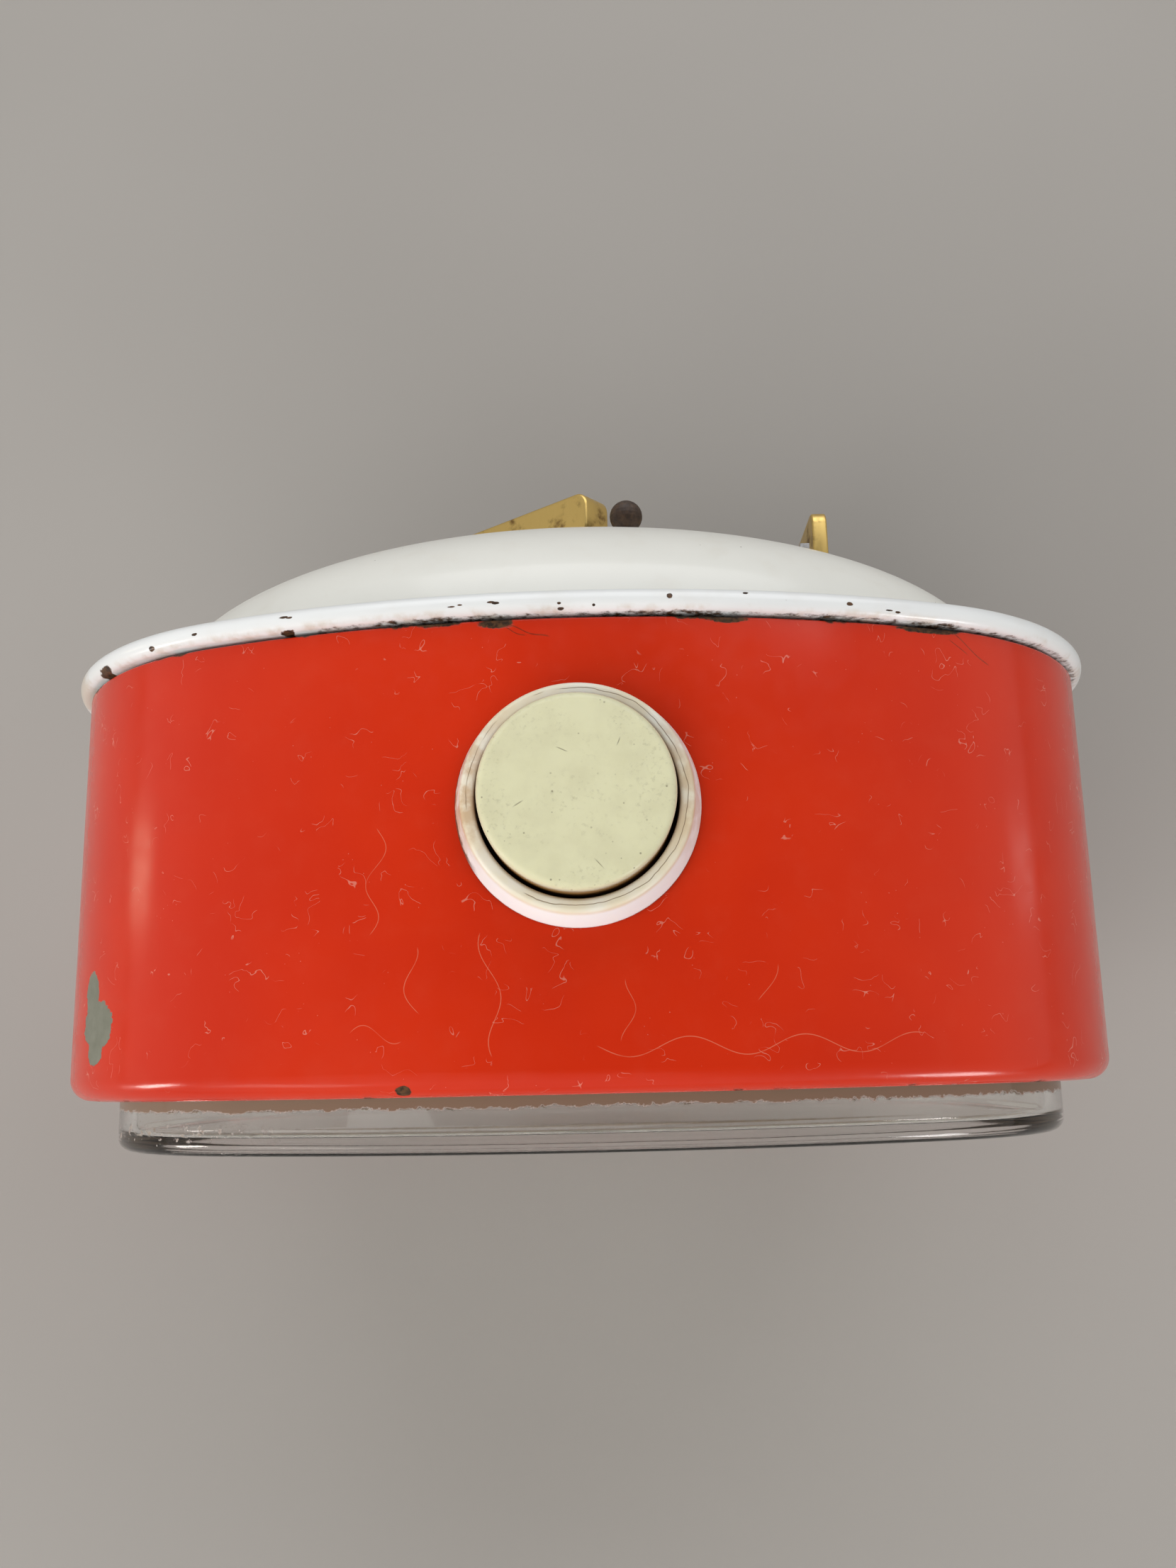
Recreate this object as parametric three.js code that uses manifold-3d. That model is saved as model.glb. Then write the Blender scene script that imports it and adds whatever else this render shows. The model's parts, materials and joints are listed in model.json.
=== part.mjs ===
// Wind-up alarm clock with a push button on top: pressed steel band, clear crystal, domed
// rear cover and a spring-driven movement. Millimetres, +Z up, dial facing -Y. The origin is
// the centre of the object's bounding box, on the surface the feet stand on.
import * as THREE from 'three';
import { mergeVertices } from 'three/addons/utils/BufferGeometryUtils.js';
import Module from 'manifold-3d';

const wasm = await Module();
wasm.setup();

// ---------- driving dimensions (x across, y from the band's front plane, z from the dial centre)
const CASE_HALF_WIDTH = 52;
const CASE_HALF_HEIGHT = 44;
const TOP_ARC_RADIUS = 93;
const SIDE_ARC_RADIUS = 156;
const CORNER_RADIUS = 29;
const BAND_DEPTH = 39.4;
const WALL = 0.8;
const FRONT_ROLL = 2.6;
const LIP_INSET = 4.2;
const CRYSTAL_FRONT = -5;
const CRYSTAL_INSET = 4.6;
const CRYSTAL_WALL = 1.6;
const RIM_PROUD = 1.1;
const RIM_FRONT = BAND_DEPTH + 0.3;
const RIM_REAR = 41.7;
const DOME_BASE = 43.8;
const DOME_HALF_WIDTH = 47.4;
const DOME_HALF_HEIGHT = 36.8;
const DOME_RISE = 16;
const COVER_WALL = 0.7;
const KEY_REAR = 67;
const FOOT_BOTTOM = -46.5;
const ORIGIN_Y = (CRYSTAL_FRONT + KEY_REAR) / 2;

const BUTTON_Y = 23.2;
const BUTTON_RADIUS = 7.75;
const BUTTON_RISE = 6.7;
const COLLAR_BASE_RADIUS = 10;
const COLLAR_TOP_RADIUS = 9.05;
const COLLAR_BORE = 8.2;
const COLLAR_RISE = 3.9;

const FRONT_PLATE = [11.2, 12.2];
const REAR_PLATE = [29.4, 30.4];
const PLATE_HALF_WIDTH = 40;
const PLATE_HALF_HEIGHT = 35;
const PIVOT_RADIUS = 0.6;
const ARBOR_RADIUS = 0.9;
const HOLE_CLEARANCE = 0.25;

// ---------- axes of the movement, [x, z] from the dial centre
const along = (from, distance, degrees) => {
  const angle = THREE.MathUtils.degToRad(degrees);
  return [from[0] + distance * Math.cos(angle), from[1] + distance * Math.sin(angle)];
};
const DIAL_CENTRE = [0, 0];
const TIME_MAIN = [-9.06, -2.39];
const ALARM_MAIN = [28.9, -11.7];
const MOTION_DISTANCE = 12.587;
const CANNON_TEETH = 10;
const MINUTE_TEETH = 30;
const SETTING_TEETH = 26;
const CANNON_RADIUS = (MOTION_DISTANCE * CANNON_TEETH) / (CANNON_TEETH + MINUTE_TEETH);
const TIME_SET = along(DIAL_CENTRE, CANNON_RADIUS * (1 + SETTING_TEETH / CANNON_TEETH), 60.9);
const ALARM_SET = along(DIAL_CENTRE, 12, -40);
const MINUTE_WHEEL = along(DIAL_CENTRE, MOTION_DISTANCE, 180);
const SECOND_WHEEL = along(TIME_MAIN, 17.5, 121.5);
const THIRD_WHEEL = along(SECOND_WHEEL, 11.6, 40);
const FOURTH_WHEEL = along(THIRD_WHEEL, 9.4, -10);
const ESCAPE_WHEEL = along(FOURTH_WHEEL, 8.4, 20);
const PALLET_PIVOT = along(ESCAPE_WHEEL, 7.4, 0);
const BALANCE = along(PALLET_PIVOT, 10, -5);
const ALARM_ESCAPE = along(ALARM_MAIN, 14, 140);
const HAMMER_PIVOT = along(ALARM_ESCAPE, 9, 160);
const STRIKER = [HAMMER_PIVOT[0] + 6.5, HAMMER_PIVOT[1] + 13.5];
const STOP_LEVER_PIVOT = [-16, 28.8];
const PILLARS = [[-34, 20], [36, 17], [-30, -26], [33, -31]];
const COVER_POSTS = [[-27, -12], [20, 4]];

// ---------- materials
const look = (color, roughness, metalness, extra = {}) =>
  new THREE.MeshStandardMaterial({ color, roughness, metalness, ...extra });
const redPaint = () => look(0xc4210f, 0.3, 0.1);
const whitePaint = () => look(0xdfe2db, 0.35, 0.1);
const ivory = () => look(0xe4dec4, 0.5, 0);
const brass = () => look(0xa8863a, 0.35, 0.95);
const steel = () => look(0x8f9196, 0.35, 0.95);
const darkPlastic = () => look(0x1c1512, 0.5, 0);
const rubber = () => look(0x222222, 0.85, 0);
const clear = () => look(0xeef2f2, 0.1, 0, { transparent: true, opacity: 0.35 });
const handPaint = () => look(0x22201c, 0.4, 0.2);

// ---------- solid helpers
const clock = new THREE.Group();
const place = (name, geometry, material, [x, z] = DIAL_CENTRE, y = 0) => {
  const mesh = new THREE.Mesh(geometry, material);
  mesh.name = name;
  mesh.position.set(x, y, z);
  clock.add(mesh);
  return mesh;
};

function solidOf(geometry) {
  const bare = geometry.clone();
  bare.deleteAttribute('normal');
  bare.deleteAttribute('uv');
  const merged = mergeVertices(bare, 1e-4);
  const vertProperties = new Float32Array(merged.attributes.position.array);
  const triVerts = new Uint32Array(merged.index.array);
  return new wasm.Manifold(new wasm.Mesh({ numProp: 3, vertProperties, triVerts }));
}

function geometryOf(solid) {
  const { vertProperties, triVerts } = solid.getMesh();
  const geometry = new THREE.BufferGeometry();
  geometry.setAttribute('position', new THREE.BufferAttribute(vertProperties, 3));
  geometry.setIndex(new THREE.BufferAttribute(triVerts, 1));
  return geometry;
}

const join = (...parts) => geometryOf(parts.map(solidOf).reduce((sum, part) => sum.add(part)));
const cut = (body, ...tools) =>
  geometryOf(tools.map(solidOf).reduce((rest, tool) => rest.subtract(tool), solidOf(body)));

// A flat piece drawn in the x-z plane that fills y from front to rear.
function flat(shape, [front, rear], curveSegments = 12) {
  const geometry = new THREE.ExtrudeGeometry(shape, { depth: rear - front, bevelEnabled: false, curveSegments });
  return geometry.rotateX(Math.PI / 2).translate(0, rear, 0);
}
const rod = (radius, [front, rear], sides = 12, [x, z] = DIAL_CENTRE) =>
  new THREE.CylinderGeometry(radius, radius, rear - front, sides).translate(x, (front + rear) / 2, z);
// A turned piece about the y axis from [radius, y] points that close on themselves or on the axis.
const turned = (profile, sides = 24) =>
  facingOut(new THREE.LatheGeometry(profile.map(([r, y]) => new THREE.Vector2(r, y)), sides));
const shapeOf = (points) => new THREE.Shape(points.map(([x, z]) => new THREE.Vector2(x, z)));
const circle = (radius, [x, z] = DIAL_CENTRE) => new THREE.Path().absarc(x, z, radius, 0, 2 * Math.PI);

// A closed surface over rings with equal numbers of points; tips close the two ends, and
// without tips the last ring meets the first one.
function skin(rings, tips = null) {
  const count = rings[0].length;
  const points = rings.flat();
  const index = [];
  const bands = tips ? rings.length - 1 : rings.length;
  for (let band = 0; band < bands; band++) {
    const near = band * count;
    const far = ((band + 1) % rings.length) * count;
    for (let i = 0; i < count; i++) {
      const next = (i + 1) % count;
      index.push(near + i, near + next, far + i, near + next, far + next, far + i);
    }
  }
  if (tips) {
    const last = (rings.length - 1) * count;
    points.push(...tips);
    for (let i = 0; i < count; i++) {
      const next = (i + 1) % count;
      index.push(points.length - 2, next, i, points.length - 1, last + i, last + next);
    }
  }
  const geometry = new THREE.BufferGeometry().setFromPoints(points);
  geometry.setIndex(index);
  return facingOut(geometry);
}

function facingOut(geometry) {
  const position = geometry.attributes.position;
  const corner = [0, 1, 2].map(() => new THREE.Vector3());
  const index = geometry.index.array;
  let volume = 0;
  for (let i = 0; i < index.length; i += 3) {
    corner.forEach((point, k) => point.fromBufferAttribute(position, index[i + k]));
    volume += corner[0].dot(corner[1].clone().cross(corner[2]));
  }
  if (volume < 0) geometry.setIndex(Array.from(index).reverse());
  return geometry;
}

// ---------- cushion outline of the case: shallow top and side arcs joined by corner arcs
function cornerCentre() {
  const top = new THREE.Vector2(0, CASE_HALF_HEIGHT - TOP_ARC_RADIUS);
  const side = new THREE.Vector2(CASE_HALF_WIDTH - SIDE_ARC_RADIUS, 0);
  const reachTop = TOP_ARC_RADIUS - CORNER_RADIUS;
  const reachSide = SIDE_ARC_RADIUS - CORNER_RADIUS;
  const line = side.clone().sub(top);
  const gap = line.length();
  const alongLine = (reachTop ** 2 - reachSide ** 2 + gap ** 2) / (2 * gap);
  const across = Math.sqrt(reachTop ** 2 - alongLine ** 2);
  line.normalize();
  return top.addScaledVector(line, alongLine).add(new THREE.Vector2(-line.y, line.x).multiplyScalar(-across));
}

const CORNER = cornerCentre();
const SIDE_END = Math.atan2(CORNER.y, CORNER.x - (CASE_HALF_WIDTH - SIDE_ARC_RADIUS));
const TOP_START = Math.atan2(CORNER.y - (CASE_HALF_HEIGHT - TOP_ARC_RADIUS), CORNER.x);

function arc(cx, cz, radius, from, to, steps) {
  return Array.from({ length: steps }, (_, i) => {
    const angle = from + ((to - from) * i) / steps;
    return [cx + radius * Math.cos(angle), cz + radius * Math.sin(angle)];
  });
}

function outline(inset) {
  const quarter = [
    ...arc(CASE_HALF_WIDTH - SIDE_ARC_RADIUS, 0, SIDE_ARC_RADIUS - inset, 0, SIDE_END, 2),
    ...arc(CORNER.x, CORNER.y, CORNER_RADIUS - inset, SIDE_END, TOP_START, 6),
    ...arc(0, CASE_HALF_HEIGHT - TOP_ARC_RADIUS, TOP_ARC_RADIUS - inset, TOP_START, Math.PI / 2, 3),
    [0, CASE_HALF_HEIGHT - inset],
  ];
  const back = quarter.slice(0, -1).reverse();
  return [
    ...quarter,
    ...back.map(([x, z]) => [-x, z]),
    ...quarter.slice(1).map(([x, z]) => [-x, -z]),
    ...back.slice(0, -1).map(([x, z]) => [x, -z]),
  ];
}

const ringAt = ([inset, y]) => outline(inset).map(([x, z]) => new THREE.Vector3(x, y, z));
const cushionRing = (profile) => skin(profile.map(ringAt));
const onAxis = (y) => new THREE.Vector3(0, y, 0);

// ---------- case
function caseBand() {
  const r = FRONT_ROLL;
  const profile = [
    [0, BAND_DEPTH], [0, r], [r * 0.13, r * 0.5], [r * 0.5, r * 0.13], [r, 0],
    [LIP_INSET, 0], [LIP_INSET, WALL], [r + 0.2, WALL], [WALL + 0.4, WALL + 0.5],
    [WALL, r + 0.2], [WALL, BAND_DEPTH],
  ];
  const buttonHole = new THREE.CylinderGeometry(COLLAR_BORE + 1.15, COLLAR_BORE + 1.15, 8, 32)
    .rotateX(Math.PI / 2).translate(0, BUTTON_Y, CASE_HALF_HEIGHT);
  const pegHoles = FOOT_X.flatMap((x) => FOOT_PEG_Y.map((y) =>
    new THREE.CylinderGeometry(2, 2, 12, 12).rotateX(Math.PI / 2).translate(x, y, -CASE_HALF_HEIGHT)));
  return cut(cushionRing(profile), buttonHole, ...pegHoles);
}

function crystal() {
  const flange = WALL + 2.4;
  const outer = CRYSTAL_INSET;
  const inner = CRYSTAL_INSET + CRYSTAL_WALL;
  const rings = [
    [outer + 6, CRYSTAL_FRONT + 0.05], [outer + 1, CRYSTAL_FRONT + 0.35], [outer + 0.2, CRYSTAL_FRONT + 1.1],
    [outer, 1.2], [flange, 1.2], [flange, 2.3], [inner, 2.3],
    [inner + 0.1, CRYSTAL_FRONT + CRYSTAL_WALL + 0.8], [inner + 1, CRYSTAL_FRONT + CRYSTAL_WALL + 0.1],
  ].map(ringAt);
  return skin(rings, [onAxis(CRYSTAL_FRONT), onAxis(CRYSTAL_FRONT + CRYSTAL_WALL)]);
}

const dialRing = () =>
  cushionRing([[WALL + 2.4, 2.6], [CRYSTAL_INSET + 2, 2.6], [CRYSTAL_INSET + 4.2, 4.6], [WALL + 2.4, 4.6]]);

function dial() {
  const shape = shapeOf(outline(WALL + 2.4));
  shape.holes.push(circle(3.2));
  return flat(shape, [4.9, 5.7], 8);
}

// ---------- rear cover: rolled rim, skirt inside the band, flat border and a pressed dome
const DOME_STEPS = [0.42, 0.72, 0.92];
function domeRing(scale, lift) {
  const rim = outline(4.2);
  return rim.map(([x, z]) => {
    const reach = 1 / Math.hypot(x / DOME_HALF_WIDTH, z / DOME_HALF_HEIGHT);
    return new THREE.Vector3(x * reach * scale, DOME_BASE + lift, z * reach * scale);
  });
}
const domeLift = (scale) => DOME_RISE * Math.sqrt(1 - scale ** 2);

function coverShell() {
  const skirt = WALL + 0.35;
  const bead = [
    [3.2, RIM_REAR], [0, RIM_REAR], [-RIM_PROUD * 0.7, RIM_REAR - 0.3], [-RIM_PROUD, RIM_REAR - 1],
    [-RIM_PROUD * 0.7, RIM_FRONT + 0.3], [0, RIM_FRONT], [skirt, RIM_FRONT],
    [skirt, BAND_DEPTH - 4.5], [skirt + COVER_WALL, BAND_DEPTH - 4.5],
    [skirt + COVER_WALL, RIM_REAR - COVER_WALL],
  ].map(ringAt);
  const outside = DOME_STEPS.map((scale) => domeRing(scale, domeLift(scale)));
  const inside = DOME_STEPS.map((scale) => domeRing(scale * 0.985, domeLift(scale) - COVER_WALL));
  const foot = RIM_REAR - DOME_BASE;
  const rings = [...outside, domeRing(1, 0), domeRing(1.012, foot), ...bead,
    domeRing(0.995, foot - COVER_WALL), domeRing(0.985, -COVER_WALL), ...inside.reverse()];
  return skin(rings, [onAxis(DOME_BASE + DOME_RISE), onAxis(DOME_BASE + DOME_RISE - COVER_WALL)]);
}

function rearCover() {
  const through = [BAND_DEPTH, KEY_REAR];
  const hole = (axis, radius) => rod(radius, through, 16, axis);
  const slot = new THREE.Shape();
  const half = THREE.MathUtils.degToRad(30);
  slot.absarc(0, 0, REGULATOR_REACH + 1.2, -Math.PI / 2 - half, -Math.PI / 2 + half, false);
  slot.absarc(0, 0, REGULATOR_REACH - 1.2, -Math.PI / 2 + half, -Math.PI / 2 - half, true);
  return cut(coverShell(), hole(TIME_MAIN, 3.2), hole(ALARM_MAIN, 3.2), hole(TIME_SET, 1.6),
    hole(ALARM_SET, 1.9), ...COVER_POSTS.map((post) => hole(post, 1.5)),
    flat(slot, through, 8).translate(BALANCE[0], 0, BALANCE[1]));
}

// ---------- feet: moulded bars that carry the case clear of its bowed base
const FOOT_X = [-27, 27];
const FOOT_PEG_Y = [11, 31];
function foot(x) {
  const bar = new THREE.Shape();
  bar.moveTo(-5.5, FOOT_BOTTOM);
  bar.lineTo(5.5, FOOT_BOTTOM);
  bar.lineTo(7, -37);
  bar.lineTo(-7, -37);
  const block = flat(bar, [3.5, 37.5]).translate(x, 0, 0);
  const caseBody = flat(shapeOf(outline(-0.3)), [0, BAND_DEPTH]);
  const pegs = FOOT_PEG_Y.map((y) => {
    const peg = turned([[0, -43], [1.7, -43], [1.7, -37.8], [2.7, -37.4], [2.1, -35.8], [0, -35.4]], 12);
    return peg.rotateX(Math.PI / 2).translate(x, y, 0);
  });
  return join(cut(block, caseBody), ...pegs);
}

// ---------- stop button: collar clipped in the band, button sliding down in it
const BUTTON_FLANGE = -5.2;
const STEM_END = -10.6;
const COLLAR_SIDES = 26;
function buttonCollar() {
  const crown = [
    [COLLAR_BORE, -3.6], [COLLAR_BORE + 0.8, -3.6], [COLLAR_BORE + 0.8, -1.1], [COLLAR_BASE_RADIUS, -1.1],
    [COLLAR_BASE_RADIUS, 0.5], [COLLAR_TOP_RADIUS + 0.25, COLLAR_RISE - 0.4],
    [COLLAR_TOP_RADIUS - 0.15, COLLAR_RISE], [COLLAR_BORE + 0.2, COLLAR_RISE],
    [COLLAR_BORE, COLLAR_RISE - 0.2], [COLLAR_BORE, -3.6],
  ];
  const ring = turned(crown, COLLAR_SIDES).rotateX(Math.PI / 2).translate(0, BUTTON_Y, CASE_HALF_HEIGHT);
  const caseBody = flat(shapeOf(outline(-0.12)), [0, BAND_DEPTH]);
  const sleeve = turned([[COLLAR_BORE, -3.6], [COLLAR_BORE + 0.8, -3.6], [COLLAR_BORE + 0.8, 0.3],
    [COLLAR_BORE, 0.3], [COLLAR_BORE, -3.6]], COLLAR_SIDES).rotateX(Math.PI / 2).translate(0, BUTTON_Y, CASE_HALF_HEIGHT);
  return join(cut(ring, caseBody), sleeve);
}

const collarClip = () => turned([[COLLAR_BORE + 1, -2.4], [COLLAR_BORE + 3.4, -2.8], [COLLAR_BORE + 3.4, -2.3],
  [COLLAR_BORE + 1, -1.9], [COLLAR_BORE + 1, -2.4]], 20).rotateX(Math.PI / 2);

function stopButton() {
  const r = BUTTON_RADIUS;
  const top = BUTTON_RISE;
  const profile = [
    [0, top], [r - 1.6, top - 0.1], [r - 0.6, top - 0.45], [r - 0.1, top - 1.1], [r, top - 2],
    [r, BUTTON_FLANGE + 1], [COLLAR_BORE + 0.7, BUTTON_FLANGE + 1], [COLLAR_BORE + 0.7, BUTTON_FLANGE],
    [r - 1.4, BUTTON_FLANGE], [r - 1.4, top - 2.4], [1.6, top - 2.4], [1.6, STEM_END], [0, STEM_END - 0.4],
  ];
  return turned(profile, COLLAR_SIDES).rotateX(Math.PI / 2);
}

class Helix extends THREE.Curve {
  constructor(radius, from, to, turns) {
    super();
    Object.assign(this, { radius, from, to, turns });
  }
  getPoint(t, target = new THREE.Vector3()) {
    const angle = t * this.turns * 2 * Math.PI;
    return target.set(this.radius * Math.cos(angle), this.radius * Math.sin(angle),
      this.from + (this.to - this.from) * t);
  }
}
const wire = (radius, sides) => shapeOf(arc(0, 0, radius, 0, 2 * Math.PI, sides));
const SPRING_SEAT = -9.4;
const buttonSpring = () => new THREE.ExtrudeGeometry(wire(0.35, 5),
  { steps: 50, bevelEnabled: false, extrudePath: new Helix(3.4, SPRING_SEAT + 0.6, BUTTON_RISE - 3.1, 5) });

// A steel bridge screwed across the top of the plates; the spring stands on it.
function springBridge() {
  const seat = new THREE.BoxGeometry(14, 17, 0.8).translate(0, 0, SPRING_SEAT - 0.3);
  const leg = new THREE.BoxGeometry(8, 0.8, 9).translate(0, REAR_PLATE[1] + 0.7 - BUTTON_Y, SPRING_SEAT - 4.2);
  const bridge = join(seat, leg);
  const stemHole = new THREE.CylinderGeometry(2, 2, 4, 16).rotateX(Math.PI / 2).translate(0, 0, SPRING_SEAT);
  return cut(bridge, stemHole);
}

function stopLever() {
  const arm = shapeOf([[-2, -2], [2, -2], [17.6, 1.6], [17.6, 3.2], [2, 2], [-2, 2]]);
  const tail = shapeOf([[-2, -2], [27.2, -12.6], [28, -10.7], [2, 2], [-2, 2]]);
  return join(flat(arm, [BUTTON_Y - 1, BUTTON_Y + 2]), flat(tail, [REAR_PLATE[1] + 0.6, REAR_PLATE[1] + 1.6]),
    rod(0.8, [FRONT_PLATE[0], REAR_PLATE[1] + 1]));
}

// ---------- wheels: pointed teeth with plenty of backlash
const TOOTH_HEIGHT = 0.75;
const TOOTH_DEPTH = 1.05;
function toothed(teeth, pitchRadius, phase, [front, rear]) {
  const module = (2 * pitchRadius) / teeth;
  const pitch = (2 * Math.PI) / teeth;
  const points = [];
  for (let i = 0; i < teeth; i++) {
    const centre = phase + i * pitch;
    for (const [shift, lift] of [[0, TOOTH_HEIGHT], [0.5, -TOOTH_DEPTH]]) {
      const radius = pitchRadius + lift * module;
      points.push([radius * Math.cos(centre + shift * pitch), radius * Math.sin(centre + shift * pitch)]);
    }
  }
  return flat(shapeOf(points), [front, rear]);
}
const heading = (from, to) => Math.atan2(to[1] - from[1], to[0] - from[0]);
// The phase that puts a gap of the driven gear on each tooth of the driver.
function meshing(driverTeeth, driverPhase, direction, drivenTeeth) {
  const offset = ((direction - driverPhase) * driverTeeth) / (2 * Math.PI);
  return direction + Math.PI + ((offset - 0.5) * 2 * Math.PI) / drivenTeeth;
}
// An arbor between the plates, with a thin pivot at each end.
const arbor = (front = FRONT_PLATE[1] + 0.3, rear = REAR_PLATE[0] - 0.3) => join(
  rod(ARBOR_RADIUS, [front, rear], 8),
  rod(PIVOT_RADIUS, [FRONT_PLATE[0], REAR_PLATE[1]], 6),
);
// A wheel and its pinion on one arbor: each is [teeth, pitch radius, phase, [front, rear]].
const wheelAndPinion = (wheel, pinion) => join(arbor(), toothed(...wheel), toothed(...pinion));
const share = (distance, teeth, partner) => (distance * teeth) / (teeth + partner);

const GREAT_TEETH = 36;
const SECOND_TEETH = 36;
const THIRD_TEETH = 30;
const FOURTH_TEETH = 30;
const PINION_TEETH = 6;
const ALARM_GREAT_TEETH = 30;
const GREAT_Y = [13.2, 14.2];
const SECOND_Y = [26.6, 27.4];
const THIRD_Y = [20.4, 21.2];
const FOURTH_Y = [16.4, 17.2];
const ESCAPE_Y = [20.4, 21.2];
const ALARM_ESCAPE_Y = [26.6, 27.4];
const reach = (a, b) => Math.hypot(a[0] - b[0], a[1] - b[1]);
const wider = ([front, rear]) => [front - 0.4, rear + 0.4];

function goingTrain() {
  const chain = [
    ['second_wheel', TIME_MAIN, SECOND_WHEEL, GREAT_TEETH, GREAT_Y, SECOND_TEETH, SECOND_Y, THIRD_WHEEL],
    ['third_wheel', SECOND_WHEEL, THIRD_WHEEL, SECOND_TEETH, SECOND_Y, THIRD_TEETH, THIRD_Y, FOURTH_WHEEL],
    ['fourth_wheel', THIRD_WHEEL, FOURTH_WHEEL, THIRD_TEETH, THIRD_Y, FOURTH_TEETH, FOURTH_Y, ESCAPE_WHEEL],
  ];
  for (const [name, before, axis, driverTeeth, driverY, teeth, wheelY, after] of chain) {
    const direction = heading(before, axis);
    const pinionPhase = meshing(driverTeeth, direction, direction, PINION_TEETH);
    const wheelRadius = share(reach(axis, after), teeth, PINION_TEETH);
    const pinionRadius = share(reach(axis, before), PINION_TEETH, driverTeeth);
    place(name, wheelAndPinion([teeth, wheelRadius, heading(axis, after), wheelY],
      [PINION_TEETH, pinionRadius, pinionPhase, wider(driverY)]), brass(), axis);
  }
}

function hookedWheel(teeth, tip, root, phase, span) {
  const points = [];
  for (let i = 0; i < teeth; i++) {
    const start = phase + (i * 2 * Math.PI) / teeth;
    points.push([root * Math.cos(start), root * Math.sin(start)]);
    points.push([tip * Math.cos(start + 0.05), tip * Math.sin(start + 0.05)]);
    points.push([root * Math.cos(start + 0.2), root * Math.sin(start + 0.2)]);
  }
  return flat(shapeOf(points), span);
}

function escapeWheel() {
  const direction = heading(FOURTH_WHEEL, ESCAPE_WHEEL);
  const phase = meshing(FOURTH_TEETH, direction, direction, PINION_TEETH);
  const radius = share(reach(FOURTH_WHEEL, ESCAPE_WHEEL), PINION_TEETH, FOURTH_TEETH);
  return join(arbor(), hookedWheel(15, 5, 3.9, 0.12, ESCAPE_Y),
    toothed(PINION_TEETH, radius, phase, wider(FOURTH_Y)));
}

function palletFork() {
  const lever = shapeOf([[-1.6, -4.2], [-0.9, -4.6], [0.4, -1.2], [6.6, -0.7], [7.6, -1.3], [7.6, 1.3],
    [6.6, 0.7], [0.4, 1.2], [-0.9, 4.6], [-1.6, 4.2], [-0.9, 0]]);
  return join(flat(lever, [ESCAPE_Y[0] - 1.4, ESCAPE_Y[0] - 0.5]), arbor());
}

function balanceWheel() {
  const rim = shapeOf(arc(0, 0, 8.6, 0, 2 * Math.PI, 24));
  rim.holes.push(new THREE.Path(arc(0, 0, 7.4, 0, -2 * Math.PI, 24).map(([x, z]) => new THREE.Vector2(x, z))));
  const arm = shapeOf([[-7.9, -0.7], [7.9, -0.7], [7.9, 0.7], [-7.9, 0.7]]);
  return join(flat(rim, [23.6, 25]), flat(arm, [23.9, 24.7]), arbor());
}

// A flat spiral ribbon in the x-z plane.
function spiral(inner, outer, turns, thickness, span, steps) {
  const side = (offset) => Array.from({ length: steps + 1 }, (_, i) => {
    const radius = inner + ((outer - inner) * i) / steps + offset;
    const angle = (turns * 2 * Math.PI * i) / steps;
    return [radius * Math.cos(angle), radius * Math.sin(angle)];
  });
  return flat(shapeOf([...side(thickness / 2), ...side(-thickness / 2).reverse()]), span);
}

// ---------- winding: great wheel loose on the winding arbor, key screwed on behind the cover
const keyHubFront = (axis) => domeY(axis) + 1.2;
const windingArbor = (axis) => join(rod(1.9, [12.6, 28.9], 12),
  rod(1.2, [FRONT_PLATE[0], keyHubFront(axis) + 1.2], 12));
function greatWheel(teeth, pitchRadius, phase) {
  const bore = rod(2.1, [GREAT_Y[0] - 2, GREAT_Y[1] + 2], 16);
  return cut(toothed(teeth, pitchRadius, phase, GREAT_Y), bore);
}

// The wing clears the dome all the way round as the key turns.
function windingKey(axis, halfWidth, thickness, degrees) {
  const hubFront = keyHubFront(axis);
  const inboard = Math.max(0, 1 - halfWidth / Math.hypot(...axis));
  const rise = Math.max(hubFront + 0.9, domeY(axis.map((value) => value * inboard)) + 1);
  const hub = rod(2.7, [hubFront, rise + 3], 16);
  const bore = rod(1.4, [hubFront - 1, hubFront + 1.6], 12);
  const wing = new THREE.Shape();
  wing.moveTo(-2, rise - 0.5);
  wing.lineTo(2, rise - 0.5);
  wing.lineTo(halfWidth - 2, rise);
  wing.quadraticCurveTo(halfWidth, rise, halfWidth, rise + 1.5);
  wing.lineTo(halfWidth, KEY_REAR - 1.5);
  wing.quadraticCurveTo(halfWidth, KEY_REAR, halfWidth - 1.5, KEY_REAR);
  wing.lineTo(1.5 - halfWidth, KEY_REAR);
  wing.quadraticCurveTo(-halfWidth, KEY_REAR, -halfWidth, KEY_REAR - 1.5);
  wing.lineTo(-halfWidth, rise + 1.5);
  wing.quadraticCurveTo(-halfWidth, rise, 2 - halfWidth, rise);
  const plate = new THREE.ExtrudeGeometry(wing, { depth: thickness, bevelEnabled: false, curveSegments: 5 });
  const blade = plate.translate(0, 0, -thickness / 2);
  return cut(join(hub, blade), bore).rotateY(-THREE.MathUtils.degToRad(degrees));
}

// ---------- setting shafts with their knobs
function timeSetShaft(phase, pitchRadius, motionY) {
  const knob = new THREE.SphereGeometry(1.85, 28, 14).translate(0, 63, 0);
  return join(knob, rod(0.9, [motionY[0], 62], 10), toothed(SETTING_TEETH, pitchRadius, phase, motionY));
}
function alarmSetShaft(phase, motionY) {
  const knob = turned([[0, 59.8], [3.2, 59.8], [3.6, 60.4], [3.6, 63.4], [3, 64.2], [0, 64.4]], 16);
  return join(knob, rod(1.1, [motionY[0], 60.5], 10), toothed(ALARM_SETTING_TEETH, 3, phase, motionY));
}

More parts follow.
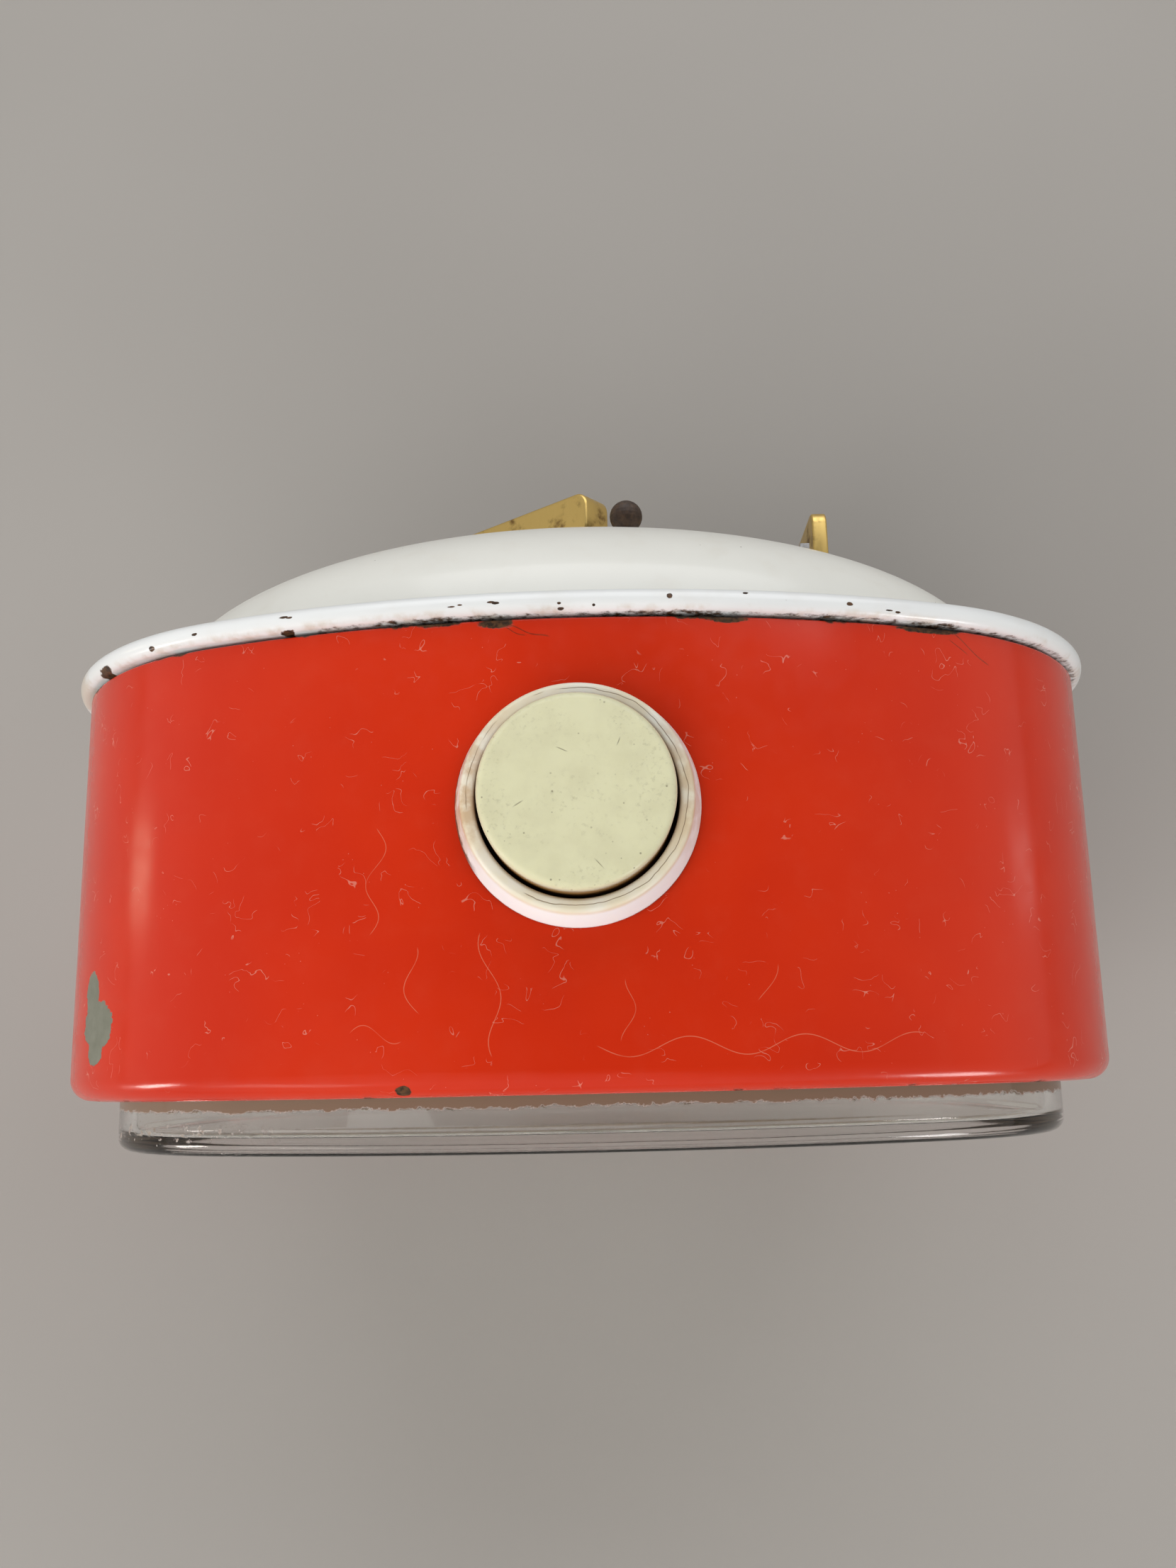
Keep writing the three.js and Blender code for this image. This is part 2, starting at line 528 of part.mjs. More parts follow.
// ---------- motion work and hands
const MINUTE_Y = [9.6, 10.4];
const HOUR_Y = [8.2, 9];
const ALARM_Y = [6.6, 7.4];
const tube = (outer, inner, [front, rear], sides = 16) =>
  turned([[inner, front], [outer, front], [outer, rear], [inner, rear], [inner, front]], sides);

const MINUTE_PINION_TEETH = 8;
const HOUR_TEETH = 32;
const ALARM_TEETH = 24;
const ALARM_SETTING_TEETH = 8;
const CANNON_PHASE = heading(DIAL_CENTRE, TIME_SET);

const cannonPinion = () => cut(join(rod(1.35, [0.4, 10.8], 16),
  toothed(CANNON_TEETH, CANNON_RADIUS, CANNON_PHASE, MINUTE_Y)), rod(0.95, [0, 12], 16));
const hourWheel = () => cut(join(rod(2.1, [1.9, 9], 16),
  toothed(HOUR_TEETH, share(MOTION_DISTANCE, HOUR_TEETH, MINUTE_PINION_TEETH), 0, HOUR_Y)), rod(1.6, [1, 12], 16));
const alarmWheel = () => cut(join(rod(2.85, [3.3, 7.4], 16),
  toothed(ALARM_TEETH, 9, heading(DIAL_CENTRE, ALARM_SET), ALARM_Y)), rod(2.35, [1, 12], 16));
const centrePost = () => rod(0.75, [-0.2, FRONT_PLATE[0] - 0.3], 12);

function minuteWheel() {
  const towardCannon = heading(DIAL_CENTRE, MINUTE_WHEEL);
  const phase = meshing(CANNON_TEETH, CANNON_PHASE, towardCannon, MINUTE_TEETH);
  const pinionPhase = meshing(HOUR_TEETH, 0, towardCannon, MINUTE_PINION_TEETH);
  return join(toothed(MINUTE_TEETH, share(MOTION_DISTANCE, MINUTE_TEETH, CANNON_TEETH), phase, MINUTE_Y),
    toothed(MINUTE_PINION_TEETH, share(MOTION_DISTANCE, MINUTE_PINION_TEETH, HOUR_TEETH), pinionPhase,
      [HOUR_Y[0] - 0.2, MINUTE_Y[0] + 0.3]), rod(PIVOT_RADIUS, [7.7, FRONT_PLATE[1] - 0.4], 8));
}

// A hand: a round boss with a tapering blade at the given clock angle, on a tube.
function hand(length, boss, bore, width, degrees, span) {
  const blade = shapeOf([[-width, -boss * 0.5], [-width * 1.15, length * 0.8], [0, length],
    [width * 1.15, length * 0.8], [width, -boss * 0.5]]);
  const round = shapeOf(arc(0, 0, boss, 0, 2 * Math.PI, 24));
  return cut(join(flat(round, span), flat(blade, span)), rod(bore, [span[0] - 1, span[1] + 1], 16))
    .rotateY(THREE.MathUtils.degToRad(degrees));
}

// ---------- plates, pillars and fasteners
function plate(span, openings) {
  const shape = new THREE.Shape();
  const w = PLATE_HALF_WIDTH;
  const h = PLATE_HALF_HEIGHT;
  shape.moveTo(-w + 15, -h);
  shape.lineTo(w - 12, -h);
  shape.quadraticCurveTo(w, -h, w, -h + 14);
  shape.lineTo(w, h - 16);
  shape.quadraticCurveTo(w - 3, h - 4, w - 18, h - 4);
  shape.lineTo(-w + 18, h - 4);
  shape.quadraticCurveTo(-w + 3, h - 4, -w, h - 16);
  shape.lineTo(-w, -h + 15);
  shape.quadraticCurveTo(-w, -h, -w + 15, -h);
  const tools = openings.map(([axis, radius]) => rod(radius, [span[0] - 1, span[1] + 1], 6, axis));
  return cut(flat(shape, span, 5), ...tools);
}
const PIVOTS = [SECOND_WHEEL, THIRD_WHEEL, FOURTH_WHEEL, ESCAPE_WHEEL, PALLET_PIVOT, BALANCE,
  ALARM_ESCAPE, HAMMER_PIVOT];
const pivotHoles = () => PIVOTS.map((axis) => [axis, PIVOT_RADIUS + HOLE_CLEARANCE]);

const pillar = () => join(rod(2, [FRONT_PLATE[1] + 0.3, REAR_PLATE[0] - 0.3], 10),
  rod(1, [FRONT_PLATE[0], REAR_PLATE[1] + 2], 8));
function nut(bore, across, span) {
  return cut(rod(across / Math.sqrt(3), span, 6), rod(bore, [span[0] - 1, span[1] + 1], 8));
}
const domeY = ([x, z]) => {
  const scale = Math.hypot(x / DOME_HALF_WIDTH, z / DOME_HALF_HEIGHT);
  return DOME_BASE + domeLift(Math.min(scale, 0.999));
};
const coverPost = (axis) => cut(rod(2.4, [REAR_PLATE[1] + 0.3, domeY(axis) - 3], 10),
  rod(1.1, [REAR_PLATE[1] + 4, domeY(axis)], 10));
function coverScrew(axis) {
  const inboard = 1 - 2.6 / Math.hypot(...axis);
  const seat = domeY(axis.map((value) => value * inboard)) + 0.25;
  const head = turned([[0, seat], [2.6, seat], [2.6, seat + 0.7], [1.8, seat + 1.3], [0, seat + 1.4]], 16);
  const slot = new THREE.BoxGeometry(6, 0.8, 0.7).translate(0, seat + 1.3, 0);
  return cut(join(head, rod(0.9, [seat - 9, seat + 0.3], 10)), slot);
}

// ---------- regulator and alarm striking parts
const REGULATOR_REACH = 9;
function regulatorLever() {
  const arm = shapeOf([[-1, -REGULATOR_REACH - 0.6], [1, -REGULATOR_REACH - 0.6], [2, 2], [-2, 2]]);
  const pointer = new THREE.BoxGeometry(1, 27.5, 1.2).translate(0, REAR_PLATE[1] + 14.3, -REGULATOR_REACH);
  const lever = join(flat(arm, [REAR_PLATE[1] + 0.6, REAR_PLATE[1] + 1.4]), rod(3, [REAR_PLATE[1] + 0.6,
    REAR_PLATE[1] + 1.4], 16), pointer);
  return cut(lever, rod(1.2, [REAR_PLATE[1], REAR_PLATE[1] + 3], 12));
}
function alarmEscape() {
  const direction = heading(ALARM_MAIN, ALARM_ESCAPE);
  const phase = meshing(ALARM_GREAT_TEETH, direction, direction, PINION_TEETH);
  const radius = share(reach(ALARM_MAIN, ALARM_ESCAPE), PINION_TEETH, ALARM_GREAT_TEETH);
  return join(arbor(), hookedWheel(12, 4.2, 3.2, 0.1, ALARM_ESCAPE_Y),
    toothed(PINION_TEETH, radius, phase, wider(GREAT_Y)));
}
function alarmHammer() {
  const verge = shapeOf([[-1, -3.4], [4.1, -3], [4.1, -2.4], [1, -1], [1, 1], [4.1, 2.4], [4.1, 3], [-1, 3.4]]);
  const arm = shapeOf([[-0.8, -0.8], [0.8, -0.8], [0.6, 13], [-0.6, 13]]);
  const head = new THREE.CylinderGeometry(2.4, 2.4, 4, 12).rotateX(Math.PI / 2)
    .translate(0, REAR_PLATE[1] + 4.2, 13.5);
  return join(arbor(), flat(verge, [ALARM_ESCAPE_Y[0] - 1.4, ALARM_ESCAPE_Y[0] - 0.5]),
    rod(PIVOT_RADIUS, [REAR_PLATE[0], REAR_PLATE[1] + 5.2], 8),
    flat(arm, [REAR_PLATE[1] + 3.7, REAR_PLATE[1] + 4.7]), head);
}
const strikerStud = () => rod(1.6, [REAR_PLATE[1] + 2, domeY(STRIKER) - 2], 12);

// ---------- assembly
function buildCase() {
  place('case_band', caseBand(), redPaint());
  place('crystal', crystal(), clear());
  place('dial_ring', dialRing(), whitePaint());
  place('dial', dial(), ivory());
  place('rear_cover', rearCover(), whitePaint());
  FOOT_X.forEach((x) => place(x < 0 ? 'foot_left' : 'foot_right', foot(x), rubber()));
}

function buildButton() {
  place('button_collar', buttonCollar(), ivory());
  place('collar_clip', collarClip(), steel(), [0, CASE_HALF_HEIGHT], BUTTON_Y);
  place('stop_button', stopButton(), ivory(), [0, CASE_HALF_HEIGHT], BUTTON_Y);
  place('button_spring', buttonSpring(), steel(), [0, CASE_HALF_HEIGHT], BUTTON_Y);
  place('spring_bridge', springBridge(), steel(), [0, CASE_HALF_HEIGHT], BUTTON_Y);
  place('stop_lever', stopLever(), steel(), STOP_LEVER_PIVOT);
}

function buildPlates() {
  const leverHole = [STOP_LEVER_PIVOT, 1.1];
  const pillarHoles = PILLARS.map((axis) => [axis, 1.35]);
  const arborHoles = [TIME_MAIN, ALARM_MAIN].map((axis) => [axis, 1.6]);
  const passing = [[TIME_SET, 1.3], [ALARM_SET, 1.5]];
  const common = [...pivotHoles(), ...pillarHoles, ...arborHoles, ...passing, leverHole];
  place('front_plate', plate(FRONT_PLATE, [...common, [MINUTE_WHEEL, PIVOT_RADIUS + HOLE_CLEARANCE]]), brass());
  place('rear_plate', plate(REAR_PLATE, common), brass());
  PILLARS.forEach((axis, i) => place(`pillar_${i + 1}`, pillar(), steel(), axis));
  PILLARS.forEach((axis, i) => place(`pillar_nut_${i + 1}`,
    nut(1.15, 4, [REAR_PLATE[1] + 0.3, REAR_PLATE[1] + 1.7]), steel(), axis));
  ['left', 'right'].forEach((side, i) => {
    place(`cover_post_${side}`, coverPost(COVER_POSTS[i]), steel(), COVER_POSTS[i]);
    place(`cover_screw_${side}`, coverScrew(COVER_POSTS[i]), brass(), COVER_POSTS[i]);
  });
}

function buildWinding() {
  const sets = [
    ['time', TIME_MAIN, GREAT_TEETH, SECOND_WHEEL, 13, 14.8, 4, 40],
    ['alarm', ALARM_MAIN, ALARM_GREAT_TEETH, ALARM_ESCAPE, 10, 13, 1.8, 90],
  ];
  for (const [name, axis, teeth, next, springRadius, keyHalf, keyThickness, degrees] of sets) {
    const radius = share(reach(axis, next), teeth, PINION_TEETH);
    place(`${name}_winding_arbor`, windingArbor(axis), steel(), axis);
    place(`${name}_great_wheel`, greatWheel(teeth, radius, heading(axis, next)), brass(), axis);
    place(`${name}_mainspring`, spiral(2.8, springRadius, 5, 0.45, [15, 24], 50), steel(), axis);
    place(`${name}_winding_key`, windingKey(axis, keyHalf, keyThickness, degrees), brass(), axis);
  }
}

function buildTrain() {
  goingTrain();
  place('escape_wheel', escapeWheel(), brass(), ESCAPE_WHEEL);
  place('pallet_fork', palletFork(), steel(), PALLET_PIVOT);
  place('balance_wheel', balanceWheel(), brass(), BALANCE);
  place('hairspring', spiral(1.6, 5.6, 4, 0.14, [26, 26.5], 40), steel(), BALANCE);
  place('regulator_lever', regulatorLever(), steel(), BALANCE);
  place('alarm_escape_wheel', alarmEscape(), brass(), ALARM_ESCAPE);
  place('alarm_hammer', alarmHammer(), steel(), HAMMER_PIVOT);
  place('striker_stud', strikerStud(), steel(), STRIKER);
}

function buildHands() {
  const setPhase = meshing(CANNON_TEETH, CANNON_PHASE, heading(DIAL_CENTRE, TIME_SET), SETTING_TEETH);
  const alarmPhase = meshing(ALARM_TEETH, heading(DIAL_CENTRE, ALARM_SET), heading(DIAL_CENTRE, ALARM_SET),
    ALARM_SETTING_TEETH);
  place('centre_post', centrePost(), steel());
  place('cannon_pinion', cannonPinion(), brass());
  place('hour_wheel', hourWheel(), brass());
  place('alarm_wheel', alarmWheel(), brass());
  place('minute_wheel', minuteWheel(), brass(), MINUTE_WHEEL);
  place('time_set_shaft', timeSetShaft(setPhase, reach(DIAL_CENTRE, TIME_SET) - CANNON_RADIUS, MINUTE_Y),
    darkPlastic(), TIME_SET);
  place('alarm_set_shaft', alarmSetShaft(alarmPhase, ALARM_Y), brass(), ALARM_SET);
  place('minute_hand', hand(31, 3, 1.5, 1.1, 60, [0.6, 1.1]), handPaint());
  place('hour_hand', hand(21, 3.6, 2.25, 1.4, -55, [2.1, 2.6]), handPaint());
  place('alarm_hand', hand(15, 4, 3, 0.8, 0, [3.5, 3.9]), brass());
}

buildCase();
buildButton();
buildPlates();
buildWinding();
buildTrain();
buildHands();
clock.position.set(0, -ORIGIN_Y, -FOOT_BOTTOM);

export default clock;
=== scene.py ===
# Looks of the wind-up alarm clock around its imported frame. Blender 4.5, metres.
import json
import math

import bmesh
import bpy
from mathutils import Matrix, Vector


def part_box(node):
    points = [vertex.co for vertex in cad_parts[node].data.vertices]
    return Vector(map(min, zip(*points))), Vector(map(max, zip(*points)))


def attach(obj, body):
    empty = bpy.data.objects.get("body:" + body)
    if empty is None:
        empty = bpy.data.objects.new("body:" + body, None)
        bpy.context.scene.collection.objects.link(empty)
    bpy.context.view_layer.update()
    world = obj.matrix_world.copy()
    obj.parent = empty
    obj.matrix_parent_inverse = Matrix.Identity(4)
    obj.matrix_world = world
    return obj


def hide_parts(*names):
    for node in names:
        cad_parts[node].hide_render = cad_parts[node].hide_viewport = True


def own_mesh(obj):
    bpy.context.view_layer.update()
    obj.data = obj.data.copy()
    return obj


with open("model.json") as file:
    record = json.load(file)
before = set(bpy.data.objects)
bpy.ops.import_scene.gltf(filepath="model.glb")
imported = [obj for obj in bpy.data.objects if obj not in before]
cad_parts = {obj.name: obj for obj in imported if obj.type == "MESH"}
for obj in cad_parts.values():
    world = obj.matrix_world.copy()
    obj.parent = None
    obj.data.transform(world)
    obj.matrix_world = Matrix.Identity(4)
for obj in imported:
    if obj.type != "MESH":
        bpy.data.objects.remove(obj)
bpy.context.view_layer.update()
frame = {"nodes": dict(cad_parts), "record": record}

# ---------- sizes in millimetres: x across, y from the band's front plane, z from the dial centre
MM = 0.001
ORIGIN_Y = 31.0
ORIGIN_Z = 46.5
HALF_WIDTH = 52.0
HALF_HEIGHT = 44.0
TOP_ARC = 93.0
SIDE_ARC = 156.0
CORNER_ARC = 29.0
BAND_DEPTH = 39.4
WALL = 0.8
BUTTON_Y = 23.2
RIM_FRONT = 39.7
RIM_REAR = 41.7
DOME_BASE = 43.8
DOME_HALF_WIDTH = 47.4
DOME_HALF_HEIGHT = 36.8
DOME_RISE = 16.0
CRYSTAL_FRONT = -5.0
BUTTON_HOLE = 9.35
FOOT_PEG = 2.0
FOOT_PEG_PLACES = ((-27, 11), (-27, 31), (27, 11), (27, 31))
COVER_WALL = 0.7
BALANCE_SLOT = (7.8, 10.2)
SLOT_HALF_ANGLE = 30
DIAL_FACE = 4.9
DIAL_THICKNESS = 0.8
PRINT = 0.05
PRINT_ROOT = 0.02
NUMERAL_RADIUS = 25.6
QUARTER_STEPS = (8, 34, 22)
ROUND_STEPS = 128
TRACK_STEPS = 180

NODES = frame["nodes"]


def place(x, y, z):
    """Millimetres from the dial centre and the band's front plane, to the frame's metres."""
    return Vector((x * MM, (y - ORIGIN_Y) * MM, (z + ORIGIN_Z) * MM))


# ---------- camera, floor and light
def make_camera():
    camera = bpy.data.objects.new("camera", bpy.data.cameras.new("camera"))
    camera.data.lens = 30.5
    camera.data.sensor_width = 36.0
    camera.data.clip_start = 0.005
    pitch, yaw, roll = 0.2096, 0.0099, -0.0226
    turn = Matrix.Rotation(yaw, 4, "Y") @ Matrix.Rotation(pitch, 4, "X") @ Matrix.Rotation(roll, 4, "Z")
    camera.matrix_world = Matrix.Translation(place(1.92, 2.16, 150.97)) @ turn
    bpy.context.collection.objects.link(camera)
    bpy.context.scene.camera = camera


def area_light(name, at, size, power, colour, glossy=True):
    """A softbox that faces the middle of the case: its place and size are in metres."""
    light = bpy.data.objects.new(name, bpy.data.lights.new(name, "AREA"))
    light.data.shape = "RECTANGLE"
    light.data.size, light.data.size_y = size
    light.data.energy = power
    light.data.color = colour
    light.location = at
    light.visible_glossy = glossy
    aim = Vector((0, 0, 0.05)) - Vector(at)
    light.rotation_euler = aim.to_track_quat("-Z", "Y").to_euler()
    bpy.context.collection.objects.link(light)


def make_stage():
    bpy.ops.mesh.primitive_plane_add(size=4, location=(0, 0, -0.0002))
    floor = bpy.context.object
    floor.name = "floor"
    floor.data.materials.append(floor_material())
    scene = bpy.context.scene
    scene.world = studio_world()
    scene.view_settings.view_transform = "Standard"
    area_light("front_soft", (-0.35, -0.7, 0.95), (1.3, 0.9), 9.1, (1.0, 0.97, 0.94), glossy=False)
    area_light("rear_soft", (0.1, 0.95, 0.8), (1.6, 1.0), 9.0, (0.98, 0.98, 1.0))
    area_light("left_card", (-0.53, -0.62, 0.42), (0.3, 0.14), 0.3, (1.0, 0.95, 0.88))
    area_light("left_window", (-0.75, -0.38, 0.17), (0.1, 0.26), 1.6, (1.0, 0.94, 0.9))
    area_light("left_slit", (-0.83, 0.1, 0.1), (0.08, 0.15), 0.12, (1.0, 0.86, 0.62))
    area_light("right_window", (0.54, -0.68, 0.12), (0.16, 0.2), 1.3, (1.0, 0.97, 0.97))
    area_light("right_slit", (0.83, 0.09, 0.15), (0.08, 0.15), 0.05, (1.0, 0.9, 0.85))


def studio_world():
    """A warm grey room, brighter at the horizon than overhead."""
    world = bpy.data.worlds.new("studio")
    world.use_nodes = True
    tree = world.node_tree
    coordinates = tree.nodes.new("ShaderNodeTexCoord")
    split = tree.nodes.new("ShaderNodeSeparateXYZ")
    tree.links.new(coordinates.outputs["Generated"], split.inputs[0])
    ramp = tree.nodes.new("ShaderNodeMapRange")
    ramp.interpolation_type = "SMOOTHSTEP"
    for name, number in (("From Min", 0.3), ("From Max", 1.0), ("To Min", 0.62), ("To Max", 0.12)):
        ramp.inputs[name].default_value = number
    tree.links.new(split.outputs["Z"], ramp.inputs["Value"])
    background = tree.nodes["Background"]
    background.inputs["Color"].default_value = (1.0, 0.97, 0.93, 1)
    tree.links.new(ramp.outputs["Result"], background.inputs["Strength"])
    return world


# ---------- node graphs
class Graph:
    """A material's node graph, with coordinates in millimetres in the frame's axes."""

    def __init__(self, name):
        self.material = bpy.data.materials.new(name)
        self.material.use_nodes = True
        self.tree = self.material.node_tree
        self.shader = self.tree.nodes["Principled BSDF"]
        coordinates = self.tree.nodes.new("ShaderNodeTexCoord")
        mapping = self.tree.nodes.new("ShaderNodeMapping")
        mapping.inputs["Scale"].default_value = (1000, 1000, 1000)
        self.tree.links.new(coordinates.outputs["Object"], mapping.inputs["Vector"])
        self.mm = mapping.outputs["Vector"]
        self.split = None

    def axis(self, name):
        if self.split is None:
            self.split = self.node("ShaderNodeSeparateXYZ", Vector=self.mm)
        return self.split.outputs[name]

    def node(self, kind, **inputs):
        node = self.tree.nodes.new(kind)
        for name, value in inputs.items():
            self.feed(node.inputs[name], value)
        return node

    def feed(self, socket, value):
        if isinstance(value, bpy.types.NodeSocket):
            self.tree.links.new(value, socket)
        else:
            socket.default_value = value

    def noise(self, scale, detail=4.0, roughness=0.55, distortion=0.0, vector=None):
        node = self.node("ShaderNodeTexNoise", Vector=vector or self.mm, Scale=scale, Detail=detail,
                         Roughness=roughness, Distortion=distortion)
        return node.outputs["Fac"]

    def cells(self, scale):
        """Distance to the nearest of scattered points, scale of them in each millimetre."""
        return self.node("ShaderNodeTexVoronoi", Vector=self.mm, Scale=scale).outputs["Distance"]

    def times(self, *factors):
        total = factors[0]
        for factor in factors[1:]:
            total = self.calc("MULTIPLY", total, factor)
        return total

    def plus(self, a, b):
        return self.calc("ADD", a, b)

    def minus(self, a, b):
        return self.calc("SUBTRACT", a, b)

    def calc(self, operation, a, b=0.0):
        node = self.tree.nodes.new("ShaderNodeMath")
        node.operation = operation
        self.feed(node.inputs[0], a)
        self.feed(node.inputs[1], b)
        return node.outputs[0]

    def step(self, value, low, high, out_low=0.0, out_high=1.0):
        """Smooth ramp of a value from out_low at low to out_high at high."""
        node = self.tree.nodes.new("ShaderNodeMapRange")
        node.interpolation_type = "SMOOTHSTEP"
        for name, number in (("Value", value), ("From Min", low), ("From Max", high),
                             ("To Min", out_low), ("To Max", out_high)):
            self.feed(node.inputs[name], number)
        return node.outputs["Result"]

    def blend(self, factor, first, second):
        node = self.tree.nodes.new("ShaderNodeMix")
        node.data_type = "RGBA"
        for socket, value in ((node.inputs[0], factor), (node.inputs[6], first), (node.inputs[7], second)):
            if isinstance(value, tuple) and len(value) == 3:
                value = (*value, 1.0)
            self.feed(socket, value)
        return node.outputs[2]

    def spot(self, centre, radii, edge_noise, amount, softness):
        """Mask of an ellipsoid at a place in mm from the dial centre, with a ragged edge."""
        x, y, z = centre
        middle = (x, y - ORIGIN_Y, z + ORIGIN_Z)
        shifted = self.node("ShaderNodeVectorMath", Vector=self.mm)
        shifted.operation = "SUBTRACT"
        shifted.inputs[1].default_value = middle
        scaled = self.tree.nodes.new("ShaderNodeVectorMath")
        scaled.operation = "DIVIDE"
        self.tree.links.new(shifted.outputs["Vector"], scaled.inputs[0])
        scaled.inputs[1].default_value = radii
        length = self.tree.nodes.new("ShaderNodeVectorMath")
        length.operation = "LENGTH"
        self.tree.links.new(scaled.outputs["Vector"], length.inputs[0])
        ragged = self.times(self.minus(edge_noise, 0.5), amount * 2)
        distance = self.plus(length.outputs["Value"], ragged)
        return self.step(distance, 1 - softness, 1 + softness, 1.0, 0.0)

    def strand(self, across, along, line, reach, width):
        """Mask of a fine hair: across = a + b along + c sin(d along + e), between two limits of along."""
        a, b, c, d, e = line
        wave = self.calc("SINE", self.plus(self.times(along, d), e))
        centre = self.plus(self.times(along, b), self.times(wave, c))
        gap = self.calc("ABSOLUTE", self.minus(self.minus(across, a), centre))
        fade = 0.4
        ends = self.times(self.step(along, reach[0], reach[0] + fade),
                          self.step(along, reach[1] - fade, reach[1], 1, 0))
        return self.times(self.step(gap, width * 0.5, width, 1, 0), ends)

    def most(self, *masks):
        total = masks[0]
        for mask in masks[1:]:
            total = self.calc("MAXIMUM", total, mask)
        return total

    def bump(self, height, distance, strength):
        node = self.node("ShaderNodeBump", Height=height, Distance=distance, Strength=strength)
        return node.outputs["Normal"]

    def finish(self, **inputs):
        for name, value in inputs.items():
            socket = self.shader.inputs[name.replace("_", " ")]
            if socket.type == "RGBA" and isinstance(value, tuple):
                value = (*value, 1.0)
            self.feed(socket, value)
        return self.material


# ---------- materials
def floor_material():
    g = Graph("pale_floor")
    tone = g.step(g.noise(0.004, 3), 0.3, 0.7)
    colour = g.blend(tone, (0.34, 0.325, 0.305), (0.38, 0.365, 0.345))
    return g.finish(Base_Color=colour, Roughness=0.85)


def rust_tone(g):
    return g.blend(g.step(g.noise(2.4, 4), 0.35, 0.65), (0.022, 0.012, 0.006), (0.10, 0.045, 0.016))


def rim_chips(g, ragged, chips):
    """Chips on the rear rim: each is (x, y, half-length across, half-width) in mm."""
    masks = []
    for x, y, length, width in chips:
        z = rim_height(x)
        masks.append(g.spot((x, y, z), (length * 0.85, width * 0.8, 3.0), ragged, 0.9, 0.15))
    return g.most(*masks)


def rim_height(x):
    """Height of the rim's outer line above the dial centre at x."""
    side = [point for point in outline(-0.8) if point[1] > 0]
    return min(side, key=lambda point: abs(point[0] - x))[1]


